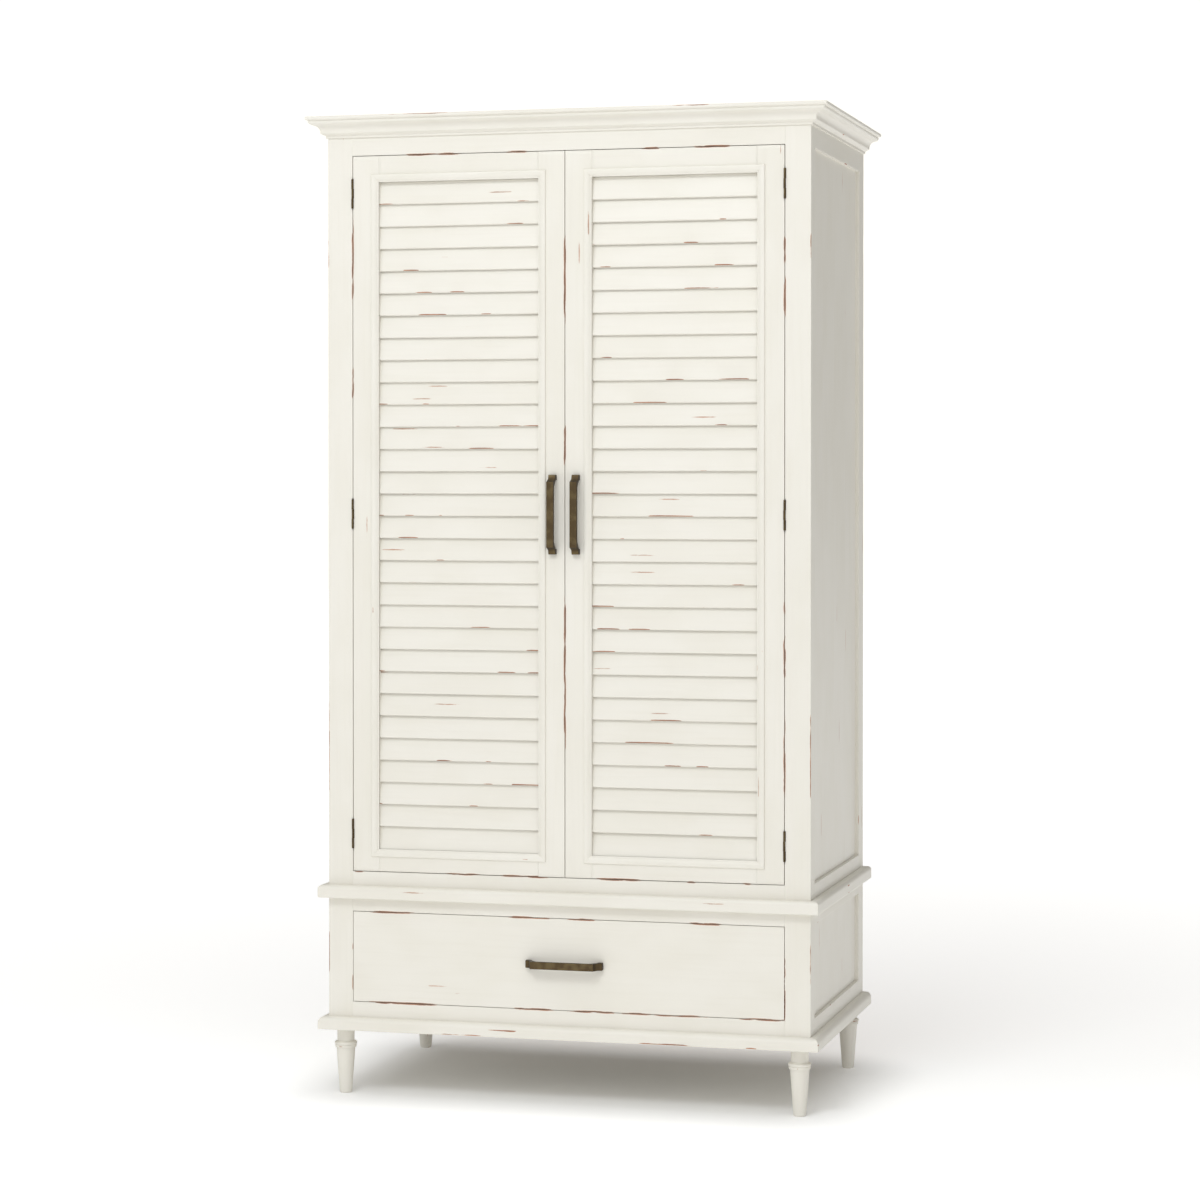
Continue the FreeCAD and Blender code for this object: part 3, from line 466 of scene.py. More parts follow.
def cream_paint():
    material, nodes, links, shader = new_material("cream_paint")
    rub = nodes.new("ShaderNodeAttribute")
    rub.attribute_name = "rub"

    brush = stretched_noise(nodes, links, 9, 420, 2.0)
    fibres = stretched_noise(nodes, links, 5, 110, 3.0, shift=3.0)
    cloud = stretched_noise(nodes, links, 5, 9, 2.0, shift=9.0)
    ragged = stretched_noise(nodes, links, 60, 300, 4.0, 0.65, shift=5.0)
    torn = stretched_noise(nodes, links, 14, 120, 3.0, 0.6, shift=7.0)

    uneven = math_node(nodes, links, "ADD",
                       math_node(nodes, links, "MULTIPLY", ragged, 0.55),
                       math_node(nodes, links, "MULTIPLY", torn, 0.65))
    level = math_node(nodes, links, "ADD", rub.outputs["Fac"],
                      math_node(nodes, links, "SUBTRACT", uneven, 0.6))
    primer = ramp(nodes, links, level, 0.36, 0.44)
    bare = ramp(nodes, links, level, 0.43, 0.53)

    fleck = dashes(nodes, links, 3.2, 60, 0.10, DASH_SHARE, ragged)
    primer = math_node(nodes, links, "MAXIMUM", primer, fleck)
    bare = math_node(nodes, links, "MAXIMUM", bare, math_node(nodes, links, "MULTIPLY", fleck, 0.55))

    coat = mix_colour(nodes, links, ramp(nodes, links, cloud, 0.35, 0.70),
                      CREAM_LIGHT, CREAM_WARM)
    coat = mix_colour(nodes, links, math_node(nodes, links, "MULTIPLY",
                                              ramp(nodes, links, fibres, 0.45, 0.75), 0.12),
                      coat, CREAM_IN_THE_PORES)
    wood = mix_colour(nodes, links, ramp(nodes, links, torn, 0.35, 0.65),
                      BARE_RED, BARE_DARK)
    colour = mix_colour(nodes, links, primer, coat, PRIMER)
    colour = mix_colour(nodes, links, bare, colour, wood)
    links.new(colour, shader.inputs["Base Color"])

    satin = math_node(nodes, links, "ADD", 0.36, math_node(nodes, links, "MULTIPLY", brush, 0.18))
    rough = math_node(nodes, links, "ADD", satin, math_node(nodes, links, "MULTIPLY", bare, 0.3))
    links.new(rough, shader.inputs["Roughness"])

    relief = math_node(nodes, links, "ADD",
                       math_node(nodes, links, "MULTIPLY", brush, 0.10),
                       math_node(nodes, links, "MULTIPLY", fibres, 0.16))
    relief = math_node(nodes, links, "SUBTRACT", relief,
                       math_node(nodes, links, "MULTIPLY", primer, 0.30))
    relief = math_node(nodes, links, "SUBTRACT", relief,
                       math_node(nodes, links, "MULTIPLY",
                                 math_node(nodes, links, "MULTIPLY", bare, torn), 0.5))
    bump = nodes.new("ShaderNodeBump")
    bump.inputs["Distance"].default_value = 0.6 * MM
    bump.inputs["Strength"].default_value = 0.55
    links.new(relief, bump.inputs["Height"])
    links.new(bump.outputs["Normal"], shader.inputs["Normal"])
    return material


PAINT = cream_paint()
print("paint nodes:", len(PAINT.node_tree.nodes))

# %% [markdown]
# ## Unpainted wood inside
#
# Nobody paints the inside of a drawer. Shelves, rod, runners and drawer box are oiled softwood.
# Growth rings cut lengthwise show as long wavering bands, so a wave texture is bent by noise and
# stretched along the fibres.

# %% Oiled softwood
def oiled_wood():
    material, nodes, links, shader = new_material("inside_wood")
    source = nodes.new("ShaderNodeAttribute")
    source.attribute_name = "grain"
    mapping = nodes.new("ShaderNodeMapping")
    mapping.inputs["Scale"].default_value = (0.8, 15, 15)
    wave = nodes.new("ShaderNodeTexWave")
    wave.bands_direction = "DIAGONAL"
    wave.inputs["Scale"].default_value = 1.0
    wave.inputs["Distortion"].default_value = 9.0
    wave.inputs["Detail"].default_value = 3.0
    wave.inputs["Detail Scale"].default_value = 0.5
    links.new(source.outputs["Vector"], mapping.inputs["Vector"])
    links.new(mapping.outputs["Vector"], wave.inputs["Vector"])
    pores = stretched_noise(nodes, links, 22, 900, 3.0, 0.6)
    colour = mix_colour(nodes, links, wave.outputs["Fac"], (0.56, 0.375, 0.21), (0.44, 0.27, 0.14))
    colour = mix_colour(nodes, links, ramp(nodes, links, pores, 0.55, 0.75), colour,
                        (0.30, 0.165, 0.08))
    links.new(colour, shader.inputs["Base Color"])
    rough = math_node(nodes, links, "ADD", 0.48, math_node(nodes, links, "MULTIPLY", pores, 0.2))
    links.new(rough, shader.inputs["Roughness"])
    bump = nodes.new("ShaderNodeBump")
    bump.inputs["Distance"].default_value = 0.3 * MM
    bump.inputs["Strength"].default_value = 0.6
    links.new(pores, bump.inputs["Height"])
    links.new(bump.outputs["Normal"], shader.inputs["Normal"])
    return material


WOOD = oiled_wood()
print("oiled wood nodes:", len(WOOD.node_tree.nodes))

# %% [markdown]
# ## Dark bronze, steel and moulded plastic
#
# The pulls and hinges are cast metal with a dark patina that hands have polished on the edges.
# A metal has no paint colour: its colour is the tint of its reflections. So the patina is a mix of
# a dull brown metal and a brighter one, driven by cloudy noise.
#
# Faces that look away from the front get painted shade: their colour is mixed towards a darker copy
# of the dark patina, so the shader compares the surface's own direction with the front of the object.

# %% Metals and plastic
def cloudy_metal(name, dark, bright, rough_low, rough_high, metallic, sides=1.0):
    """Cloudy metal; faces turned from the front get painted shade, `sides` times as bright as the dark
    colour.
    """
    material, nodes, links, shader = new_material(name)
    place = nodes.new("ShaderNodeTexCoord")
    cloud = nodes.new("ShaderNodeTexNoise")
    cloud.inputs["Scale"].default_value = 55.0
    cloud.inputs["Detail"].default_value = 5.0
    fine = nodes.new("ShaderNodeTexNoise")
    fine.inputs["Scale"].default_value = 900.0
    fine.inputs["Detail"].default_value = 3.0
    links.new(place.outputs["Object"], cloud.inputs["Vector"])
    links.new(place.outputs["Object"], fine.inputs["Vector"])
    patch = ramp(nodes, links, cloud.outputs["Fac"], 0.40, 0.66)
    colour = mix_colour(nodes, links, patch, dark, bright)
    facing = nodes.new("ShaderNodeSeparateXYZ")
    links.new(place.outputs["Normal"], facing.inputs["Vector"])
    # painted shade: faces turned from the front are mixed towards a darkened copy of the dark colour
    painted_shade_mask = ramp(nodes, links, facing.outputs["Y"], -0.9, -0.4)
    painted_side_shade = tuple(sides * channel for channel in dark)
    links.new(mix_colour(nodes, links, painted_shade_mask, colour, painted_side_shade), shader.inputs["Base Color"])
    span = rough_high - rough_low
    rough = math_node(nodes, links, "ADD", rough_low,
                      math_node(nodes, links, "MULTIPLY", fine.outputs["Fac"], span))
    links.new(rough, shader.inputs["Roughness"])
    shader.inputs["Metallic"].default_value = metallic
    bump = nodes.new("ShaderNodeBump")
    bump.inputs["Distance"].default_value = 0.15 * MM
    bump.inputs["Strength"].default_value = 0.5
    links.new(fine.outputs["Fac"], bump.inputs["Height"])
    links.new(bump.outputs["Normal"], shader.inputs["Normal"])
    return material


# the bronze pulls and hinges get painted shade on their sides, at half the dark colour
BRONZE = cloudy_metal("antique_bronze", (0.095, 0.064, 0.030), (0.150, 0.110, 0.052), 0.40, 0.60, 0.75,
                      sides=0.5)
STEEL = cloudy_metal("screw_steel", (0.42, 0.41, 0.39), (0.55, 0.54, 0.52), 0.30, 0.45, 1.0)
PLASTIC = cloudy_metal("catch_plastic", (0.13, 0.075, 0.045), (0.16, 0.095, 0.055), 0.45, 0.6, 0.0)
print("metals and plastic:", BRONZE.name, STEEL.name, PLASTIC.name)

# %% [markdown]
# ## Where the case members meet
#
# A rail's box in the design includes its hidden tenons. What shows ends at the posts. So the
# visible limits come from the neighbours: the inner faces of the posts, and the outlines of the
# openings between the rails.

# %% Visible limits of the case
post_low, post_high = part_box("right_front_post")
back_low, back_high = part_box("right_back_post")
opening_x = post_low.x
case_x = post_high.x
front_y, front_post_back_y = post_low.y, post_high.y
back_post_x, back_post_y, back_y = back_low.x, back_low.y, back_high.y
print("case half width", round(case_x, 4), "front", round(front_y, 4), "back", round(back_y, 4))


def flip(low, high, side):
    """The same box on the right (+1) or the left (-1) of the middle."""
    if side > 0:
        return Vector(low), Vector(high)
    return Vector((-high[0], low[1], low[2])), Vector((-low[0], high[1], high[2]))


SIDES = (("right", 1), ("left", -1))

# %% [markdown]
# ## Where the joints are rubbed
#
# A door that closes ten thousand times wears its joint in a few long streaks, and these are what
# the eye remembers of the piece. They aren't left to chance. Every streak is (middle, length) in
# metres, along the joint it belongs to, measured in the object's frame. Both sides of a joint
# share one list, because one knock takes the paint off both.

# %% Streaks along the joints
DOOR_HEAD_RUBS = [(-0.30, 0.16), (-0.11, 0.07), (0.19, 0.05), (0.33, 0.11)]
DOOR_FOOT_RUBS = [(-0.47, 0.03), (-0.23, 0.11), (-0.09, 0.17), (0.12, 0.14), (0.28, 0.03), (0.40, 0.03)]
DRAWER_HEAD_RUBS = [(-0.39, 0.13), (-0.08, 0.14), (0.04, 0.09), (0.31, 0.09)]
DRAWER_FOOT_RUBS = [(-0.37, 0.21), (-0.07, 0.12), (0.06, 0.14), (0.22, 0.26), (0.43, 0.14)]
MEETING_RUBS = [(1.79, 0.28), (1.43, 0.11), (0.94, 0.49)]
HINGE_RUBS = {"left": [(1.83, 0.25), (1.57, 0.09)],
              "right": [(1.84, 0.08), (1.74, 0.13), (1.08, 0.05), (0.98, 0.12), (0.76, 0.23)]}
DRAWER_END_RUBS = {"left": [(0.33, 0.03), (0.25, 0.05)], "right": [(0.32, 0.06), (0.24, 0.11)]}
CORNER_RUBS = [(1.85, 0.09), (0.77, 0.29), (0.32, 0.15)]
print("metres of streak between the doors:", round(sum(long for _, long in MEETING_RUBS), 2))

# %% [markdown]
# ## Posts
#
# Four square posts carry the case. A cube with a Bevel modifier would do for a new post, but the
# wear has to follow each arris, so they are boards from the builder above. Corner 0 is the low x,
# low y arris. On the right post that one is beside the doors, and corner 1 is the outer front
# corner of the case.

# %% Posts
for name, side in SIDES:
    outer, inner = (1, 0) if side > 0 else (0, 1)
    outer_back, inner_back = (2, 3) if side > 0 else (3, 2)
    for place, low, high, wear in (
            ("front", post_low, post_high, {outer: (0.03, CORNER_RUBS), outer_back: 0.05,
                                            inner: (0.02, HINGE_RUBS[name] + DRAWER_END_RUBS[name])}),
            ("back", back_low, back_high, {outer: 0.05, outer_back: 0.12})):
        low, high = flip(low, high, side)
        parts = [board(low, high, "z", 11 + side + (5 if place == "back" else 0), wear)]
        make_piece(f"{name}_{place}_post_painted", parts, PAINT, "carcass",
                   [f"{name}_{place}_post"])

# %% [markdown]
# ## Front rails
#
# Three rails cross the front between the posts: over the doors, between doors and drawer, and
# under the drawer. On a board along x, corner 0 is the lower front arris and corner 3 the upper
# front one, so each rail is told which of its arrises meets a door or the drawer.

# %% Front rails
for node, wear in (("frieze_rail", {0: (0.03, DOOR_HEAD_RUBS)}),
                   ("middle_rail", {0: (0.02, DRAWER_HEAD_RUBS), 3: (0.03, DOOR_FOOT_RUBS)}),
                   ("bottom_rail", {3: (0.03, DRAWER_FOOT_RUBS)})):
    low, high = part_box(node)
    low.x, high.x = -opening_x, opening_x
    make_piece(node + "_painted", [board(low, high, "x", 31 + len(node), wear)], PAINT, "carcass",
               [node])

# %% [markdown]
# ## Side and back rails
#
# Side rails are painted, and back rails face a wall, so they stay oiled. Both come from the boxes
# of their design solids, cut off at the faces of the posts, where the tenons would begin.

# %% Side and back rails, clipped to the posts
for name, side in SIDES:
    parts = []
    for i, (low, high) in enumerate(solid_boxes(f"{name}_side_rails")):
        low, high = Vector(low), Vector(high)
        low.y, high.y = front_post_back_y, back_post_y
        parts.append(board(low, high, "y", 41 + 7 * i + side, {0: 0.10, 1: 0.10, 2: 0.10, 3: 0.10}))
    make_piece(f"{name}_side_rails_painted", parts, PAINT, "carcass", [f"{name}_side_rails"])
parts = []
for i, (low, high) in enumerate(solid_boxes("back_rails")):
    low, high = Vector(low), Vector(high)
    low.x, high.x = -back_post_x, back_post_x
    parts.append(board(low, high, "x", 61 + i))
make_piece("back_rails_wood", parts, WOOD, "carcass", ["back_rails"])

# %% [markdown]
# ## Panels
#
# A loose panel sits in the grooves of its frame, so only its middle shows. A single flat sheet
# would look lifeless. It is made as boards glued edge to edge, with a faint line where two meet,
# as wide panels are.

# %% Glued-up panels
def panel(low, high, across, boards, grain, seed):
    """Boards side by side along axis `across`, with a hair's breadth between them."""
    edges = np.linspace(low[across], high[across], boards + 1)
    parts = []
    for i in range(boards):
        start, end = Vector(low), Vector(high)
        start[across], end[across] = edges[i], edges[i + 1]
        parts.append(board(start, end, grain, seed + i, radius=0.35 * MM, reach=3 * MM))
    return parts


for level in ("upper", "lower"):
    for name, side in SIDES:
        node = f"{level}_{name}_side_panel"
        low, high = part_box(node)
        parts = panel(low, high, 1, 4, "z", 71 + 10 * side + len(node))
        make_piece(node + "_painted", parts, PAINT, "carcass", [node])
parts = []
for i, (low, high) in enumerate(solid_boxes("back_panels")):
    parts += panel(low, high, 0, 8, "z", 91 + 20 * i)
make_piece("back_panels_wood", parts, WOOD, "carcass", ["back_panels"])

# %% [markdown]
# ## Boards inside the case, and the top
#
# The shelf, floor and base board pass the posts in shallow notches, so they are narrower at their
# ends. A Boolean could cut the notches, but each board is simpler as a wide middle and two short
# ends that touch it. The top is glued up from boards, like the panels.

# %% Boards inside the case, and the top
def notched_board(node, seed):
    """A wide middle and two ends that pass between the posts."""
    low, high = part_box(node)
    gap = 0.2 * MM
    inner_x = opening_x - gap
    parts = [board((-inner_x, low.y, low.z), (inner_x, high.y, high.z), "x", seed)]
    front_from = front_post_back_y + gap
    for side in (-1, 1):
        near, far = sorted((side * inner_x, side * high.x))
        parts.append(board((near, max(low.y, front_from), low.z),
                           (far, back_post_y - gap, high.z), "x", seed + 1))
    return parts


for i, node in enumerate(("wardrobe_floor", "hat_shelf")):
    make_piece(node + "_wood", notched_board(node, 121 + i), WOOD, "carcass", [node])
make_piece("base_board_painted", notched_board("base_board", 125), PAINT, "carcass", ["base_board"])
low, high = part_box("top_board")
make_piece("top_board_painted", panel(low, high, 1, 5, "x", 131), PAINT, "carcass", ["top_board"])

# %% [markdown]
# ## Mouldings with mitred corners
#
# The crown, belt and base mouldings run round the front and both sides. Where two lengths meet
# they are cut at 45 degrees. With the section measured as "out from the case" and "up", a point
# that lies further out simply runs further along the front, by the same amount. That is the mitre.

# %% Sections from straight steps and arcs
def arc_points(start, end, bulge, count):
    """Points on an arc after its start, standing `bulge` to the left of the straight line."""
    start, end = np.array(start), np.array(end)
    chord = np.linalg.norm(end - start)
    left = np.array([-(end - start)[1], (end - start)[0]]) / chord
    radius = (chord ** 2 / 4 + bulge ** 2) / (2 * abs(bulge))
    centre = (start + end) / 2 + left * (bulge - math.copysign(radius, bulge))
    a0 = math.atan2(*(start - centre)[::-1])
    a1 = math.atan2(*(end - centre)[::-1])
    turn = (a1 - a0 + math.pi) % (2 * math.pi) - math.pi
    angles = a0 + turn * np.linspace(0, 1, count + 1)[1:]
    return [tuple(centre + radius * np.array([math.cos(a), math.sin(a)])) for a in angles]


def moulded_section(steps, ease=0.8 * MM):
    """Steps are (out, up, bulge, worn arris or None). Sharp corners are eased by a tiny arc."""
    flat = []
    for i, (out, up, bulge, arris) in enumerate(steps):
        if bulge:
            before = steps[i - 1][:2]
            points = arc_points(before, (out, up), bulge, 5)
            flat += [(p, None) for p in points[:-1]]
        flat.append(((out, up), arris))
    section = Section()
    count = len(flat)
    for i, (point, arris) in enumerate(flat):
        point = np.array(point)
        if arris is None:
            section.add(*point)
            continue
        before = np.array(flat[i - 1][0]) - point
        after = np.array(flat[(i + 1) % count][0]) - point
        for way in (before, after):
            size = np.linalg.norm(way)
            near = min(3.5 * MM, 0.45 * size)
            tiny = min(ease, 0.3 * size)
            ends = [(point + way / size * near, 0.0), (point + way / size * tiny, 1.0)]
            for place, weight in (ends if way is before else ends[::-1]):
                section.add(*place, arris, weight)
    return section


print("a quarter round drawn in", len(arc_points((1, 0), (0, 1), 0.29, 5)), "steps")

# %% [markdown]
# ## Three mitred lengths
#
# One function makes the front length and both side lengths from the same section. The side ones
# start where the front one ends, at the same distance out, so the two cut faces meet exactly.

# %% Mouldings round the case
def mouldings_round_case(node, steps, seed, front_wear, side_share):
    """Front length, then the two side lengths, from one section."""
    section = moulded_section(steps)
    reach = max(step[0] for step in steps)

    def front(u, v, s):
        x = (case_x + u) * (2 * s - 1)
        return np.stack([x, front_y - u, v], 1)

    parts = [push(section, front, 2 * (case_x + reach), seed, front_wear,
                  start=-case_x - reach)]
    wear = {arris: side_share for arris in range(max(section.arris) + 1)}
    for side in (1, -1):
        def along_side(u, v, s, side=side):
            start = front_y - u
            return np.stack([side * (case_x + u), start + (back_y - start) * s, v], 1)

        parts.append(push(section, along_side, back_y - front_y + reach, seed + 2 + side, wear))
    make_piece(node + "_painted", parts, PAINT, "carcass", [node])


print("case corner at", round(case_x, 4), round(front_y, 4))

# %% [markdown]
# ## Crown, belt and base
#
# The crown steps down from a square edge through an ovolo and a deep cove to two small fillets.
# The belt and base are plain bands: one softly rounded on top, the other a quarter round.

# %% Crown, belt and base
low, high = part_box("crown_moulding")
top, out = high.z, high.x - case_x
CROWN = [(0, top, 0, None), (out, top, 0, 0), (out, top - 6.5 * MM, 0, 1),
         (out - 5.5 * MM, top - 8.0 * MM, 0, None),
         (out - 6 * MM, top - 8.5 * MM, 0, None),
         (out - 9 * MM, top - 15.5 * MM, 1.5 * MM, 2),
         (out - 10.5 * MM, top - 16.5 * MM, 0, None),
         (out - 27 * MM, top - 30.5 * MM, -4.2 * MM, None),
         (out - 27 * MM, top - 35.0 * MM, 0, 3),
         (4 * MM, low.z + 5 * MM, 0, None), (4 * MM, low.z, 0, None), (0, low.z, 0, None)]
mouldings_round_case("crown_moulding", CROWN, 141,
                     {0: (0.02, [(-0.31, 0.21), (0.29, 0.11)]), 1: 0.03, 2: 0.03, 3: 0.02}, 0.04)


def band(node, top_radius, low_radius, seed, wear):
    """A plain band round the case, with a quarter round above and a smaller one below."""
    low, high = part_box(node)
    out = high.x - case_x
    quarter = 1 - math.sqrt(0.5)
    steps = [(0, high.z, 0, None), (out - top_radius, high.z, 0, None),
             (out, high.z - top_radius, quarter * top_radius, 0),
             (out, low.z + low_radius, 0, 1),
             (out - low_radius, low.z, quarter * low_radius, None), (0, low.z, 0, None)]
    mouldings_round_case(node, steps, seed, wear, 0.05)


band("belt_moulding", 8 * MM, 3.5 * MM, 151, {0: 0.03, 1: 0.04})
band("base_moulding", 12 * MM, 2 * MM, 161,
     {0: (0.02, [(-0.14, 0.11)]), 1: (0.04, [(-0.23, 0.13), (0.23, 0.18)])})

# %% [markdown]
# ## Turned feet
#
# A foot is turned on a lathe, so it is one outline spun round its axis. The Screw modifier does
# that too. Here the points are computed, because the rings and the toe also need to be rubbed
# where shoes and brooms hit them, and the wear fades out where the circle closes.

# %% Spin an outline
def spin(outline, weights, centre, seed, share, turns=56, axis="z"):
    """Points round an axis through `centre`. The outline is (radius, along) pairs, ends on the axis."""
    rng = np.random.default_rng(seed)
    outline = np.array(outline)
    angles = np.linspace(0, 2 * math.pi, turns, endpoint=False)
    rub = np.zeros((turns, len(outline)))
    for k, weight in enumerate(weights):
        if weight:
            line = rubbed(rng, angles * outline[k][0] + 0.001, share)
            fade = np.minimum(1, np.minimum(angles, 2 * math.pi - angles) * 2)
            rub[:, k] = line * fade * weight
    points, grain = [], []
    offset = rng.uniform(0, 50, 3)
    for i, angle in enumerate(angles):
        radius = np.maximum(outline[:, 0] - rub[i] * DENT, 0)
        across = np.stack([radius * math.cos(angle), radius * math.sin(angle), outline[:, 1]], 1)
        if axis == "x":
            across = across[:, [2, 0, 1]]
        points.append(across + np.array(centre))
        grain.append(np.stack([outline[:, 1], radius * math.cos(angle),
                               radius * math.sin(angle)], 1) + offset)
    n = len(outline)
    faces = [(i * n + j, i * n + j + 1, ((i + 1) % turns) * n + j + 1, ((i + 1) % turns) * n + j)
             for i in range(turns) for j in range(n - 1)]
    faces.append(tuple(i * n for i in range(turns)))
    faces.append(tuple(i * n + n - 1 for i in range(turns))[::-1])
    return np.concatenate(points), faces, rub.ravel(), np.concatenate(grain)


circle = spin([(0.01, 0.0), (0.01, 0.1)], [0, 0], (0, 0, 0), 1, 0.1)
print("points on a spun ring:", len(circle[0]) // 2)

# %% [markdown]
# ## The foot's outline
#
# From the top down: a thin collar under the base, a straight neck, two thin rings close together,
# and a long taper to a small rounded toe. The numbers are radius and height in millimetres, then
# how easily the paint comes off at that place. Points close together make an edge read as crisp.

# %% Four feet
FOOT_HEIGHT = 145.0    # of the outline below, in millimetres


def foot_outline(foot_low, foot_top):
    """Radius and height from the top down, with the rub each point takes."""
    mm = [(25.0, 145.0, 0), (25.5, 144.6, .4), (25.5, 142.0, 1), (24.8, 141.1, 1), (19.8, 141.0, 0),
          (19.2, 140.4, 0), (19.1, 128.0, 0), (19.1, 116.2, 0), (19.6, 115.3, 0), (23.4, 113.6, .3),
          (24.3, 112.8, .7), (25.0, 110.4, 1), (24.4, 108.0, .7), (23.2, 107.3, 0), (22.6, 106.9, 0),
          (23.4, 106.3, .4), (23.7, 103.8, 1), (23.5, 101.6, .6), (22.9, 100.9, .3), (21.1, 100.7, 0),
          (20.8, 99.8, 0), (19.4, 78.0, 0), (17.8, 56.0, 0), (16.1, 34.0, .2), (14.6, 14.0, .5),
          (13.8, 4.0, 1), (13.5, 2.0, 1), (12.6, 0.6, 1), (11.7, 0.0, .8)]
    scale = (foot_top - foot_low) / FOOT_HEIGHT
    return [(r * MM, foot_low + z * scale) for r, z, _ in mm], [w for *_, w in mm]


for i, name in enumerate(("front_left", "front_right", "back_left", "back_right")):
    low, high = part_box(name + "_foot")
    middle = ((low.x + high.x) / 2, (low.y + high.y) / 2, 0)
    outline, weights = foot_outline(low.z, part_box("base_moulding")[0].z)
    parts = [spin(outline, weights, middle, 171 + i, 0.22)]
    make_piece(name + "_foot_painted", parts, PAINT, "carcass", [name + "_foot"], 28)

# %% [markdown]
# ## Recesses for the metalwork
#
# Hinge leaves and strike plates are let into the wood until they lie flush. A cabinet maker marks
# round the metal itself and chisels out the wood. The same is done here: a copy of the metal, a
# hair larger, is subtracted from the painted wood. The knuckles turn about their own axis, so the
# hole they leave fits at every angle of the door.

# %% The metal's own shape, a hair larger
def grown_copy(node, slack):
    """An object with the node's mesh, pushed outwards by `slack`."""
    work = bmesh.new()
    work.from_mesh(frame["nodes"][node].data)
    bmesh.ops.remove_doubles(work, verts=work.verts, dist=0.002 * MM)
    bmesh.ops.recalc_face_normals(work, faces=work.faces)
    work.normal_update()
    grown = [v.co + v.normal * slack for v in work.verts]
    for v, co in zip(work.verts, grown):
        v.co = co
    mesh = bpy.data.meshes.new("chisel")
    work.to_mesh(mesh)
    work.free()
    tool = bpy.data.objects.new("chisel", mesh)
    bpy.context.scene.collection.objects.link(tool)
    return tool


print("hinge leaves let into the case:", len(solid_boxes("frame_hinge_leaves")))

# %% [markdown]
# ## Cutting, and keeping the wear
#
# A Boolean modifier makes the cut, one for each kind of metal, because copies that overlap each
# other inside one cutter confuse it. The result is baked into the mesh. New points along the cut
# have no wear of their own, so each point looks up its nearest old one: an old point keeps its
# rub, and a new one is clean but continues the fibres.

# %% Chisel the recesses
def chisel(piece, nodes, fibres, slack=0.12 * MM):
    """Subtract slightly grown copies of the nodes' meshes from a board with fibres along an axis."""
    old = piece.data
    rub = np.zeros(len(old.vertices), np.float32)
    grain = np.zeros(3 * len(old.vertices), np.float32)
    old.attributes["rub"].data.foreach_get("value", rub)
    old.attributes["grain"].data.foreach_get("vector", grain)
    grain = grain.reshape(-1, 3)
    tree = KDTree(len(old.vertices))
    for i, v in enumerate(old.vertices):
        tree.insert(v.co, i)
    tree.balance()
    tools = [grown_copy(node, slack) for node in nodes]
    for tool in tools:
        cut = piece.modifiers.new("recess", "BOOLEAN")
        cut.operation = "DIFFERENCE"
        cut.solver = "EXACT"
        cut.object = tool
    before = len(old.polygons)
    done = bpy.data.meshes.new_from_object(piece.evaluated_get(bpy.context.evaluated_depsgraph_get()))
    piece.modifiers.clear()
    piece.data = done
    for tool in tools:
        bpy.data.objects.remove(tool)
    iu, iv, il = AXES[fibres]
    new_rub, new_grain = [], []
    for v in done.vertices:
        place, nearest, distance = tree.find(v.co)
        new_rub.append(rub[nearest] if distance < 0.01 * MM else 0.0)
        step = v.co - place
        new_grain.append(grain[nearest] + np.array((step[il], step[iu], step[iv])))
    for name in ("rub", "grain"):
        if name in done.attributes:
            done.attributes.remove(done.attributes[name])
    keep_wear(done, new_rub, new_grain)
    keep_edges_crisp(done, 38)
    print(f"{piece.name}: {before} faces, {len(done.polygons)} with its recesses")


for name, side in SIDES:
    chisel(bpy.data.objects[f"{name}_front_post_painted"],
           (f"{name}_door_hinge_leaves", "frame_hinge_leaves", "hinge_pins"), "z")

# %% [markdown]
# ## Louvred doors
#
# Each door is a mortised frame, a mitred bead round the opening, and thirty slats that lean
# forward at the bottom. The stiles run the full height and the rails fit between them. The joint
# side of each stile and rail takes the streaks, and the other side only a few small chips.

# %% Door frames
def door_pieces(name, side):
    """The stiles and rails of one door; returns how far from the middle its opening starts and ends."""
    body = f"{name}_door"
    stiles = sorted(solid_boxes(f"{name}_door_stiles"), key=lambda b: abs(b[0][0] + b[1][0]))
    rails = solid_boxes(f"{name}_door_rails")
    inner_x = min(abs(x) for x in (stiles[1][0][0], stiles[1][1][0]))
    outer_x = max(abs(x) for x in (stiles[0][0][0], stiles[0][1][0]))
    parts = []
    for i, (low, high) in enumerate(stiles):
        rubs = MEETING_RUBS if i == 0 else HINGE_RUBS[name]
        joint = 0 if (i == 0) == (side > 0) else 1
        wear = {joint: (0.03, rubs), 1 - joint: 0.02}
        parts.append(board(low, high, "z", 201 + 3 * i + side, wear))
    stile_piece = make_piece(f"{name}_door_stiles_painted", parts, PAINT, body,
                             [f"{name}_door_stiles"])
    chisel(stile_piece, (f"{name}_door_hinge_leaves", "frame_hinge_leaves", "hinge_pins",
                         f"{name}_door_strike_plate"), "z")
    parts = []
    for i, (low, high) in enumerate(rails):
        low, high = np.array(low), np.array(high)
        low[0], high[0] = sorted((side * outer_x, side * inner_x))
        wear = {0: (0.03, DOOR_FOOT_RUBS)} if i == 0 else {3: (0.03, DOOR_HEAD_RUBS)}
        parts.append(board(low, high, "x", 211 + 3 * i + side, wear))
    rail_piece = make_piece(f"{name}_door_rails_painted", parts, PAINT, body,
                            [f"{name}_door_rails"])
    chisel(rail_piece, (f"{name}_door_strike_plate",), "x")
    return inner_x, outer_x


print("door stiles:", [round(float(b[1][0] - b[0][0]), 4) for b in solid_boxes("left_door_stiles")])

# %% [markdown]
# ## The bead round the slats
#
# A small moulding covers the line between frame and slats. It rises in a quarter round, runs flat
# over the frame and then slopes down to the slats in a soft swell. Four lengths meet in mitres,
# so the same trick serves as for the crown: a point further in runs a shorter way.

# %% The bead round the slats
BEAD_W = 17 * MM
BEAD_SINK = 2.8 * MM       # how far its inner edge lies behind the door's face


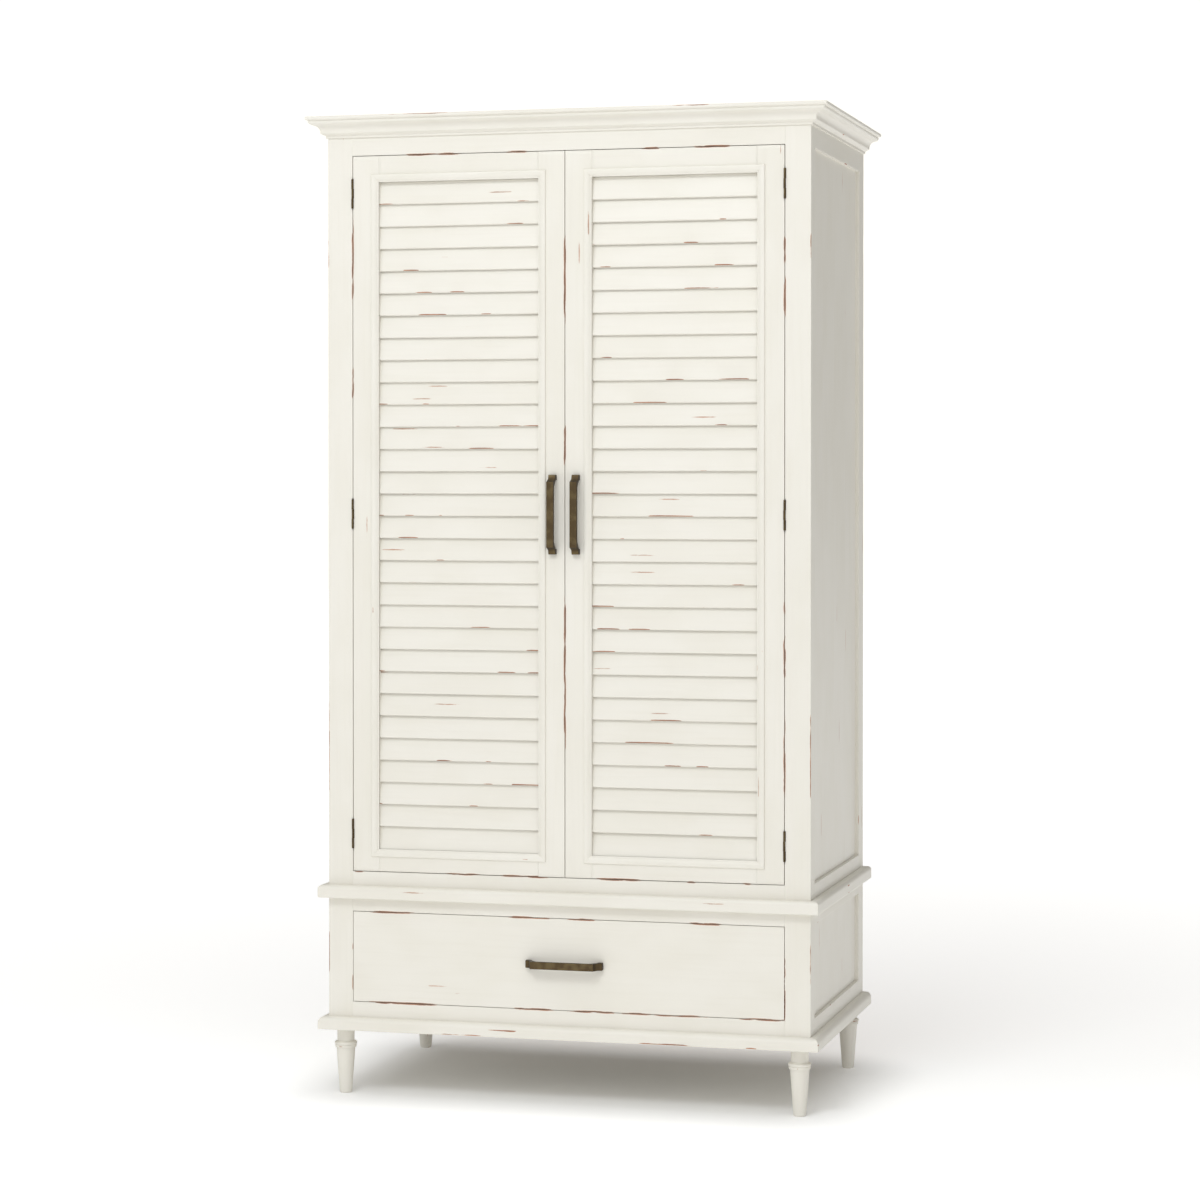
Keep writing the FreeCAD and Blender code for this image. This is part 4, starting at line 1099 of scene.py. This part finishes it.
def bead_steps(proud, depth):
    """Across from the outer edge, and out from the door's face."""
    lap = 7 * MM
    return [(0, 0, 0, None), (0, proud - 2.5 * MM, 0, None),
            (2.5 * MM, proud, 0.73 * MM, None), (4.8 * MM, proud + 0.2 * MM, 0, 0),
            (lap, proud, 0, None), (BEAD_W, -BEAD_SINK, 1.3 * MM, 1), (BEAD_W, -depth, 0, None),
            (lap, -depth, 0, None), (lap, -0.1 * MM, 0, None)]


def bead(name, side, inner_x, outer_x, light_low, light_high):
    """Four mitred lengths. Section points are (across from the outer edge, out from the face)."""
    low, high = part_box(f"{name}_door_bead")
    section = moulded_section(bead_steps(front_y - low.y, high.y - front_y))
    x0, x1 = sorted((side * outer_x, side * inner_x))
    edges = {"bottom": (x0, x1, light_low, 1), "top": (x0, x1, light_high, -1),
             "left": (light_low, light_high, x0, 1), "right": (light_low, light_high, x1, -1)}
    parts = []
    for i, (where, (start, end, line, way)) in enumerate(edges.items()):
        def place(a, f, s):
            back = BEAD_W - a
            run = (start - back) + (end - start + 2 * back) * s
            level = line - way * back
            across, up = (run, level) if where in ("bottom", "top") else (level, run)
            return np.stack([across, front_y - f, up], 1)

        parts.append(push(section, place, end - start + 2 * BEAD_W, 231 + 4 * i + side,
                          {0: 0.04, 1: 0.05}, shrink=SAWN_END))
    make_piece(f"{name}_door_bead_painted", parts, PAINT, f"{name}_door", [f"{name}_door_bead"])


print("bead section corners:", len(bead_steps(4 * MM, 24 * MM)))

# %% [markdown]
# ## Slats
#
# The slats carry most of the doors' character: their lower edges are thin, slightly wavy and
# rubbed in short dashes. An Array modifier would repeat one slat thirty times, and the eye finds
# such a repeat at once. So every slat is pushed out on its own, with its own seed, its own share of
# wear and a lean that differs by up to half a degree. Their ends run a little way into the stiles,
# and the lowest slat runs down behind the bead.

# %% Slats
TILT = math.radians(10)
LEAN = math.radians(0.5)       # how far a slat may differ from its neighbours
SLAT_THICK = 6.5 * MM
WAVY = 0.35 * MM               # how far the planing of a slat wanders
INTO_STILE = 2 * MM
BEHIND_BEAD = 6 * MM
SLAT_WEAR = 0.20               # share of a lower edge that is rubbed, on the average slat
WEAR_SPREAD = 0.16             # and how far that share differs


def slats(name, side, inner_x, outer_x):
    """All the slats of one door, each with its own seed, lean and wear."""
    x0, x1 = sorted((side * outer_x, side * inner_x))
    x0, x1 = x0 - INTO_STILE, x1 + INTO_STILE
    boxes = solid_boxes(f"{name}_door_slats")
    parts = []
    for i, (low, high) in enumerate(boxes):
        width = (high[2] - low[2] - SLAT_THICK * math.sin(TILT)) / math.cos(TILT)
        wide = max(width, 0.02)
        below = BEHIND_BEAD if i == 0 else 0.0
        section = board_section(0, SLAT_THICK, -below, wide, 1.1 * MM, 3.2 * MM)
        foot_y, foot_z = low[1], low[2] + SLAT_THICK * math.sin(TILT)
        lean = TILT + LEAN * math.sin(37.0 * i + side)

        def place(u, v, s):
            y = foot_y + u * math.cos(lean) + v * math.sin(lean)
            z = foot_z - u * math.sin(lean) + v * math.cos(lean)
            return np.stack([np.full(len(u), x0 + (x1 - x0) * s), y, z], 1)

        wear = {0: SLAT_WEAR + WEAR_SPREAD * math.sin(5.1 * i + side)}
        parts.append(push(section, place, x1 - x0, 301 + 37 * i + side, wear, WAVY, SAWN_END))
    make_piece(f"{name}_door_slats_painted", parts, PAINT, f"{name}_door", [f"{name}_door_slats"],
               50)


for name, side in SIDES:
    inner_x, outer_x = door_pieces(name, side)
    bead_low, bead_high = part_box(f"{name}_door_bead")
    bead(name, side, inner_x, outer_x, bead_low.z + BEAD_W, bead_high.z - BEAD_W)
    slats(name, side, inner_x, outer_x)
print("slat opening, across:", round(inner_x, 4), "to", round(outer_x, 4))

# %% [markdown]
# ## Bar pulls
#
# A cast pull is a bar with sloping ends and two square feet. Its side view is one closed outline,
# given a width and then bevelled. The bevel is what makes metal read as metal, because a thin
# bright line of light runs along every edge.

# %% Bar pulls
PULL_PROUD = 29.0      # how far the outline below stands out, in millimetres


def bar_pull(node, along, body):
    """A cast pull that fills its design box, with its bar along one axis."""
    low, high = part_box(node)
    size = high - low
    length = size[along]
    width_axis = 0 if along == 2 else 2
    half, proud, width = length / 2, size.y, size[width_axis]
    middle = (low + high) / 2
    end = half / MM
    half_side = [(end, 0.0), (end, 11.5), (end - 9.0, 14.5), (end - 15.5, 29.0)]
    half_under = [(end - 27.0, 21.0), (end - 12.0, 8.0), (end - 12.0, 0.0)]
    side = half_side + [(-run, out) for run, out in half_side[::-1]]
    side += [(-run, out) for run, out in half_under[::-1]] + half_under
    scale = proud / PULL_PROUD
    points = []
    for face in (-1, 1):
        for run, out in side:
            place = [0.0, high.y - out * scale, 0.0]
            place[along] = middle[along] + run * MM
            place[width_axis] = middle[width_axis] + face * width / 2
            points.append(place)
    n = len(side)
    faces = [(i, (i + 1) % n, n + (i + 1) % n, n + i) for i in range(n)]
    faces += [tuple(range(n))[::-1], tuple(range(n, 2 * n))]
    mesh = bpy.data.meshes.new(node + "_cast")
    mesh.from_pydata(points, [], faces)
    fix_outside(mesh)
    mesh.materials.append(BRONZE)
    piece = bpy.data.objects.new(node + "_cast", mesh)
    bpy.context.scene.collection.objects.link(piece)
    bevel = piece.modifiers.new("eased", "BEVEL")
    bevel.width = 0.9 * MM
    bevel.segments = 2
    bevel.limit_method = "ANGLE"
    bevel.angle_limit = math.radians(50)
    mesh.polygons.foreach_set("use_smooth", [True] * len(mesh.polygons))
    bevel.harden_normals = True
    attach(piece, body)
    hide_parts(node)
    print(f"{node}: {length * 1000:.0f} mm long, {proud * 1000:.0f} mm proud")


for node, along, body in (("left_door_pull", 2, "left_door"), ("right_door_pull", 2, "right_door"),
                          ("drawer_pull", 0, "drawer")):
    bar_pull(node, along, body)

# %% [markdown]
# ## The drawer and the wooden fittings
#
# The drawer front is one wide painted board with rubbed edges. Behind it is a plain oiled box.
# Its pieces keep the places that the design gives them, and lose only their sharp edges.

# %% Drawer
low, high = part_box("drawer_front")
wear = {0: (0.04, DRAWER_FOOT_RUBS), 3: (0.03, DRAWER_HEAD_RUBS)}
make_piece("drawer_front_painted", [board(low, high, "x", 401, wear)], PAINT, "drawer",
           ["drawer_front"])


def plain_boards(node, grain, body, seed):
    """Oiled boards in the places of a node's solids."""
    parts = [board(low, high, grain, seed + i) for i, (low, high) in enumerate(solid_boxes(node))]
    make_piece(node + "_wood", parts, WOOD, body, [node])


for i, (node, grain) in enumerate((("drawer_sides", "y"), ("drawer_back", "x"),
                                   ("drawer_bottom", "x"))):
    plain_boards(node, grain, "drawer", 411 + 3 * i)
for i, (node, grain) in enumerate((("drawer_kickers", "y"), ("shelf_cleats", "y"))):
    plain_boards(node, grain, "carcass", 431 + 3 * i)

# %% [markdown]
# ## Runners, rod and door stop
#
# Each runner is a foot that lies on the rail and a guide that keeps the drawer straight, so it is
# two boards. The rod is the foot's lathe again, laid on its side, with extra rings so that its
# grain has points to follow. The door stop is a painted strip that the doors close against.

# %% Runners, rod and door stop
parts = []
for i, (low, high) in enumerate(solid_boxes("drawer_runners")):
    side = 1 if low[0] > 0 else -1
    rail_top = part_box("bottom_rail")[1].z
    rail_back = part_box("bottom_rail")[1].y
    foot_low, foot_high = np.array(low), np.array(high)
    foot_low[1], foot_high[2] = rail_back, rail_top
    guide_low, guide_high = np.array(low), np.array(high)
    guide_low[2] = rail_top
    if side > 0:
        guide_low[0] = high[0] - 12 * MM
    else:
        guide_high[0] = low[0] + 12 * MM
    parts += [board(foot_low, foot_high, "y", 441 + i), board(guide_low, guide_high, "y", 445 + i)]
make_piece("drawer_runners_wood", parts, WOOD, "carcass", ["drawer_runners"])

low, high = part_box("hanging_rod")
radius = (high.z - low.z) / 2
ease = 1.5 * MM
outline = [(radius - ease, low.x), (radius, low.x + ease)]
outline += [(radius, low.x + ease + (high.x - low.x - 2 * ease) * t) for t in np.linspace(.05, .95, 19)]
outline += [(radius, high.x - ease), (radius - ease, high.x)]
parts = [spin(outline, [0] * len(outline), (0, (low.y + high.y) / 2, (low.z + high.z) / 2), 451, 0.1,
              axis="x")]
make_piece("hanging_rod_wood", parts, WOOD, "carcass", ["hanging_rod"])

low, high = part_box("door_stop")
make_piece("door_stop_painted", [board(low, high, "x", 461)], PAINT, "carcass", ["door_stop"])

# %% [markdown]
# ## Metalwork that keeps its design shape
#
# Hinge leaves, pins, screws, rod sockets, strike plates and catches are small, exact and already
# the right shape, so they keep their own meshes and only get their metal.

# %% Metal for the hardware
dressed = 0
for slot, material in (("antique_bronze", BRONZE), ("screw_steel", STEEL), ("catch_plastic", PLASTIC)):
    for part in frame["record"]["subparts"]:
        if part["material_slot"] == slot:
            mesh = frame["nodes"][part["node"]].data
            mesh.materials.clear()
            mesh.materials.append(material)
            dressed += 1
print("nodes given a metal or plastic:", dressed)

# %% [markdown]
# ## Floor, light and camera
#
# The armoire stands on a plain white floor that runs off into white. In a studio, lamps behind and
# beside the object keep such a floor white, and leave a soft shadow only beneath it. Here a glow in
# the floor's own material does their work: painted light, as the floor is no lamp. It is nothing under
# the case, rises round it, where it lightens the case's shadow, and grows further out until the floor
# can't be told from the background.

# %% Floor
# painted light: the floor's glow just round the case lightens the case's shadow there
NEAR_PAINTED_GLOW = 0.38       # just round the case
FAR_GLOW = 0.16        # added further out


def floor_with_painted_glow():
    """A wide sheet that glows more, the further it lies from the case; round the case this painted glow
    lightens its shadow.
    """
    material, nodes, links, shader = new_material("floor_painted_glow")
    place = nodes.new("ShaderNodeTexCoord")
    cloud = nodes.new("ShaderNodeTexNoise")
    cloud.inputs["Scale"].default_value = 0.6
    links.new(place.outputs["Object"], cloud.inputs["Vector"])
    links.new(mix_colour(nodes, links, cloud.outputs["Fac"], (0.955, 0.955, 0.955), (0.97, 0.97, 0.97)),
              shader.inputs["Base Color"])
    shader.inputs["Roughness"].default_value = 0.9
    spot = nodes.new("ShaderNodeSeparateXYZ")
    links.new(place.outputs["Object"], spot.inputs["Vector"])
    outside = []
    for axis, half in (("X", case_x - 0.11), ("Y", back_y - 0.10)):
        past = math_node(nodes, links, "SUBTRACT",
                         math_node(nodes, links, "ABSOLUTE", spot.outputs[axis]), half)
        past = math_node(nodes, links, "MAXIMUM", past, 0.0)
        outside.append(math_node(nodes, links, "MULTIPLY", past, past))
    away = math_node(nodes, links, "SQRT", math_node(nodes, links, "ADD", *outside))
    # painted light near the case, filling in its cast shadow on the floor
    near = math_node(nodes, links, "MULTIPLY", ramp(nodes, links, away, 0.0, 0.30), NEAR_PAINTED_GLOW)
    far = math_node(nodes, links, "MULTIPLY", ramp(nodes, links, away, 0.5, 5.0), FAR_GLOW)
    shader.inputs["Emission Color"].default_value = (1.0, 1.0, 1.0, 1.0)
    links.new(math_node(nodes, links, "ADD", near, far), shader.inputs["Emission Strength"])
    mesh = bpy.data.meshes.new("floor")
    reach = 30.0
    mesh.from_pydata([(-reach, -reach, 0), (reach, -reach, 0), (reach, reach, 0), (-reach, reach, 0)],
                     [], [(0, 1, 2, 3)])
    mesh.materials.append(material)
    floor = bpy.data.objects.new("floor", mesh)
    bpy.context.scene.collection.objects.link(floor)
    return floor


print("floor reaches", round(floor_with_painted_glow().dimensions.x / 2), "m each way")

# %% [markdown]
# ## Light
#
# Three lights share the work. A very broad sun, high in front, lights doors and floor evenly and
# blurs its own shadow away. A softbox in front and a little to the left makes the upper doors the
# brightest. The white surround fills the rest. It is white to the eye, but gives the wood less
# light than it shows, or the shaded side would wash out: the Light Path node tells these apart.

# %% Light
def area_light(name, place, aim, size, power, colour):
    """A softbox at a place, turned to face another place."""
    data = bpy.data.lights.new(name, "AREA")
    data.shape = "RECTANGLE"
    data.size, data.size_y = size
    data.energy = power
    data.color = colour
    lamp = bpy.data.objects.new(name, data)
    lamp.location = place
    lamp.rotation_mode = "QUATERNION"
    lamp.rotation_quaternion = (Vector(aim) - Vector(place)).to_track_quat("-Z", "Y")
    bpy.context.scene.collection.objects.link(lamp)


def studio_world(shown, given):
    """A white surround: `shown` is what the eye sees, `given` what it adds to the light."""
    world = bpy.data.worlds.new("studio")
    world.use_nodes = True
    nodes, links = world.node_tree.nodes, world.node_tree.links
    path = nodes.new("ShaderNodeLightPath")
    span = nodes.new("ShaderNodeMapRange")
    span.inputs["To Min"].default_value = given
    span.inputs["To Max"].default_value = shown
    links.new(path.outputs["Is Camera Ray"], span.inputs["Value"])
    links.new(span.outputs["Result"], nodes["Background"].inputs["Strength"])
    nodes["Background"].inputs["Color"].default_value = (1.0, 0.98, 0.92, 1.0)
    bpy.context.scene.world = world


def broad_sun(name, towards, strength, spread):
    """Light from one side of the sky: even over the whole floor, with soft shadows."""
    data = bpy.data.lights.new(name, "SUN")
    data.energy = strength
    data.angle = math.radians(spread)
    lamp = bpy.data.objects.new(name, data)
    lamp.rotation_mode = "QUATERNION"
    lamp.rotation_quaternion = Vector(towards).to_track_quat("Z", "Y")
    bpy.context.scene.collection.objects.link(lamp)


studio_world(1.1, 0.255)
broad_sun("sky", (0.0, -0.58, 0.81), 1.22, 80)
area_light("key", (-0.35, -4.0, 4.2), (0.0, 0.0, 1.2), (1.6, 1.2), 59, (0.94, 0.975, 1.0))
bpy.context.scene.view_settings.view_transform = "Standard"
print("lights:", [lamp.name for lamp in bpy.data.lights])

# %% [markdown]
# ## Camera
#
# The camera stands to the right of the armoire at eye height, with a long lens, so that its
# upright edges stay upright. Most of the tilt that would need is taken up by shifting the lens.

# %% Camera
EYE = Vector((1.8134, front_y - 6.5262, 1.354))
PITCH = 0.65           # degrees below level
TURN = 14.887          # degrees to the left
LENS = 94.15
camera_data = bpy.data.cameras.new("camera")
camera_data.sensor_width = 36.0
camera_data.lens = LENS
camera_data.shift_y = -0.0702
camera = bpy.data.objects.new("camera", camera_data)
camera.location = EYE
camera.rotation_euler = (math.radians(90 - PITCH), 0, math.radians(TURN))
bpy.context.scene.collection.objects.link(camera)
bpy.context.scene.camera = camera
print("camera", round(EYE.z, 2), "m above the floor, lens", camera_data.lens, "mm")
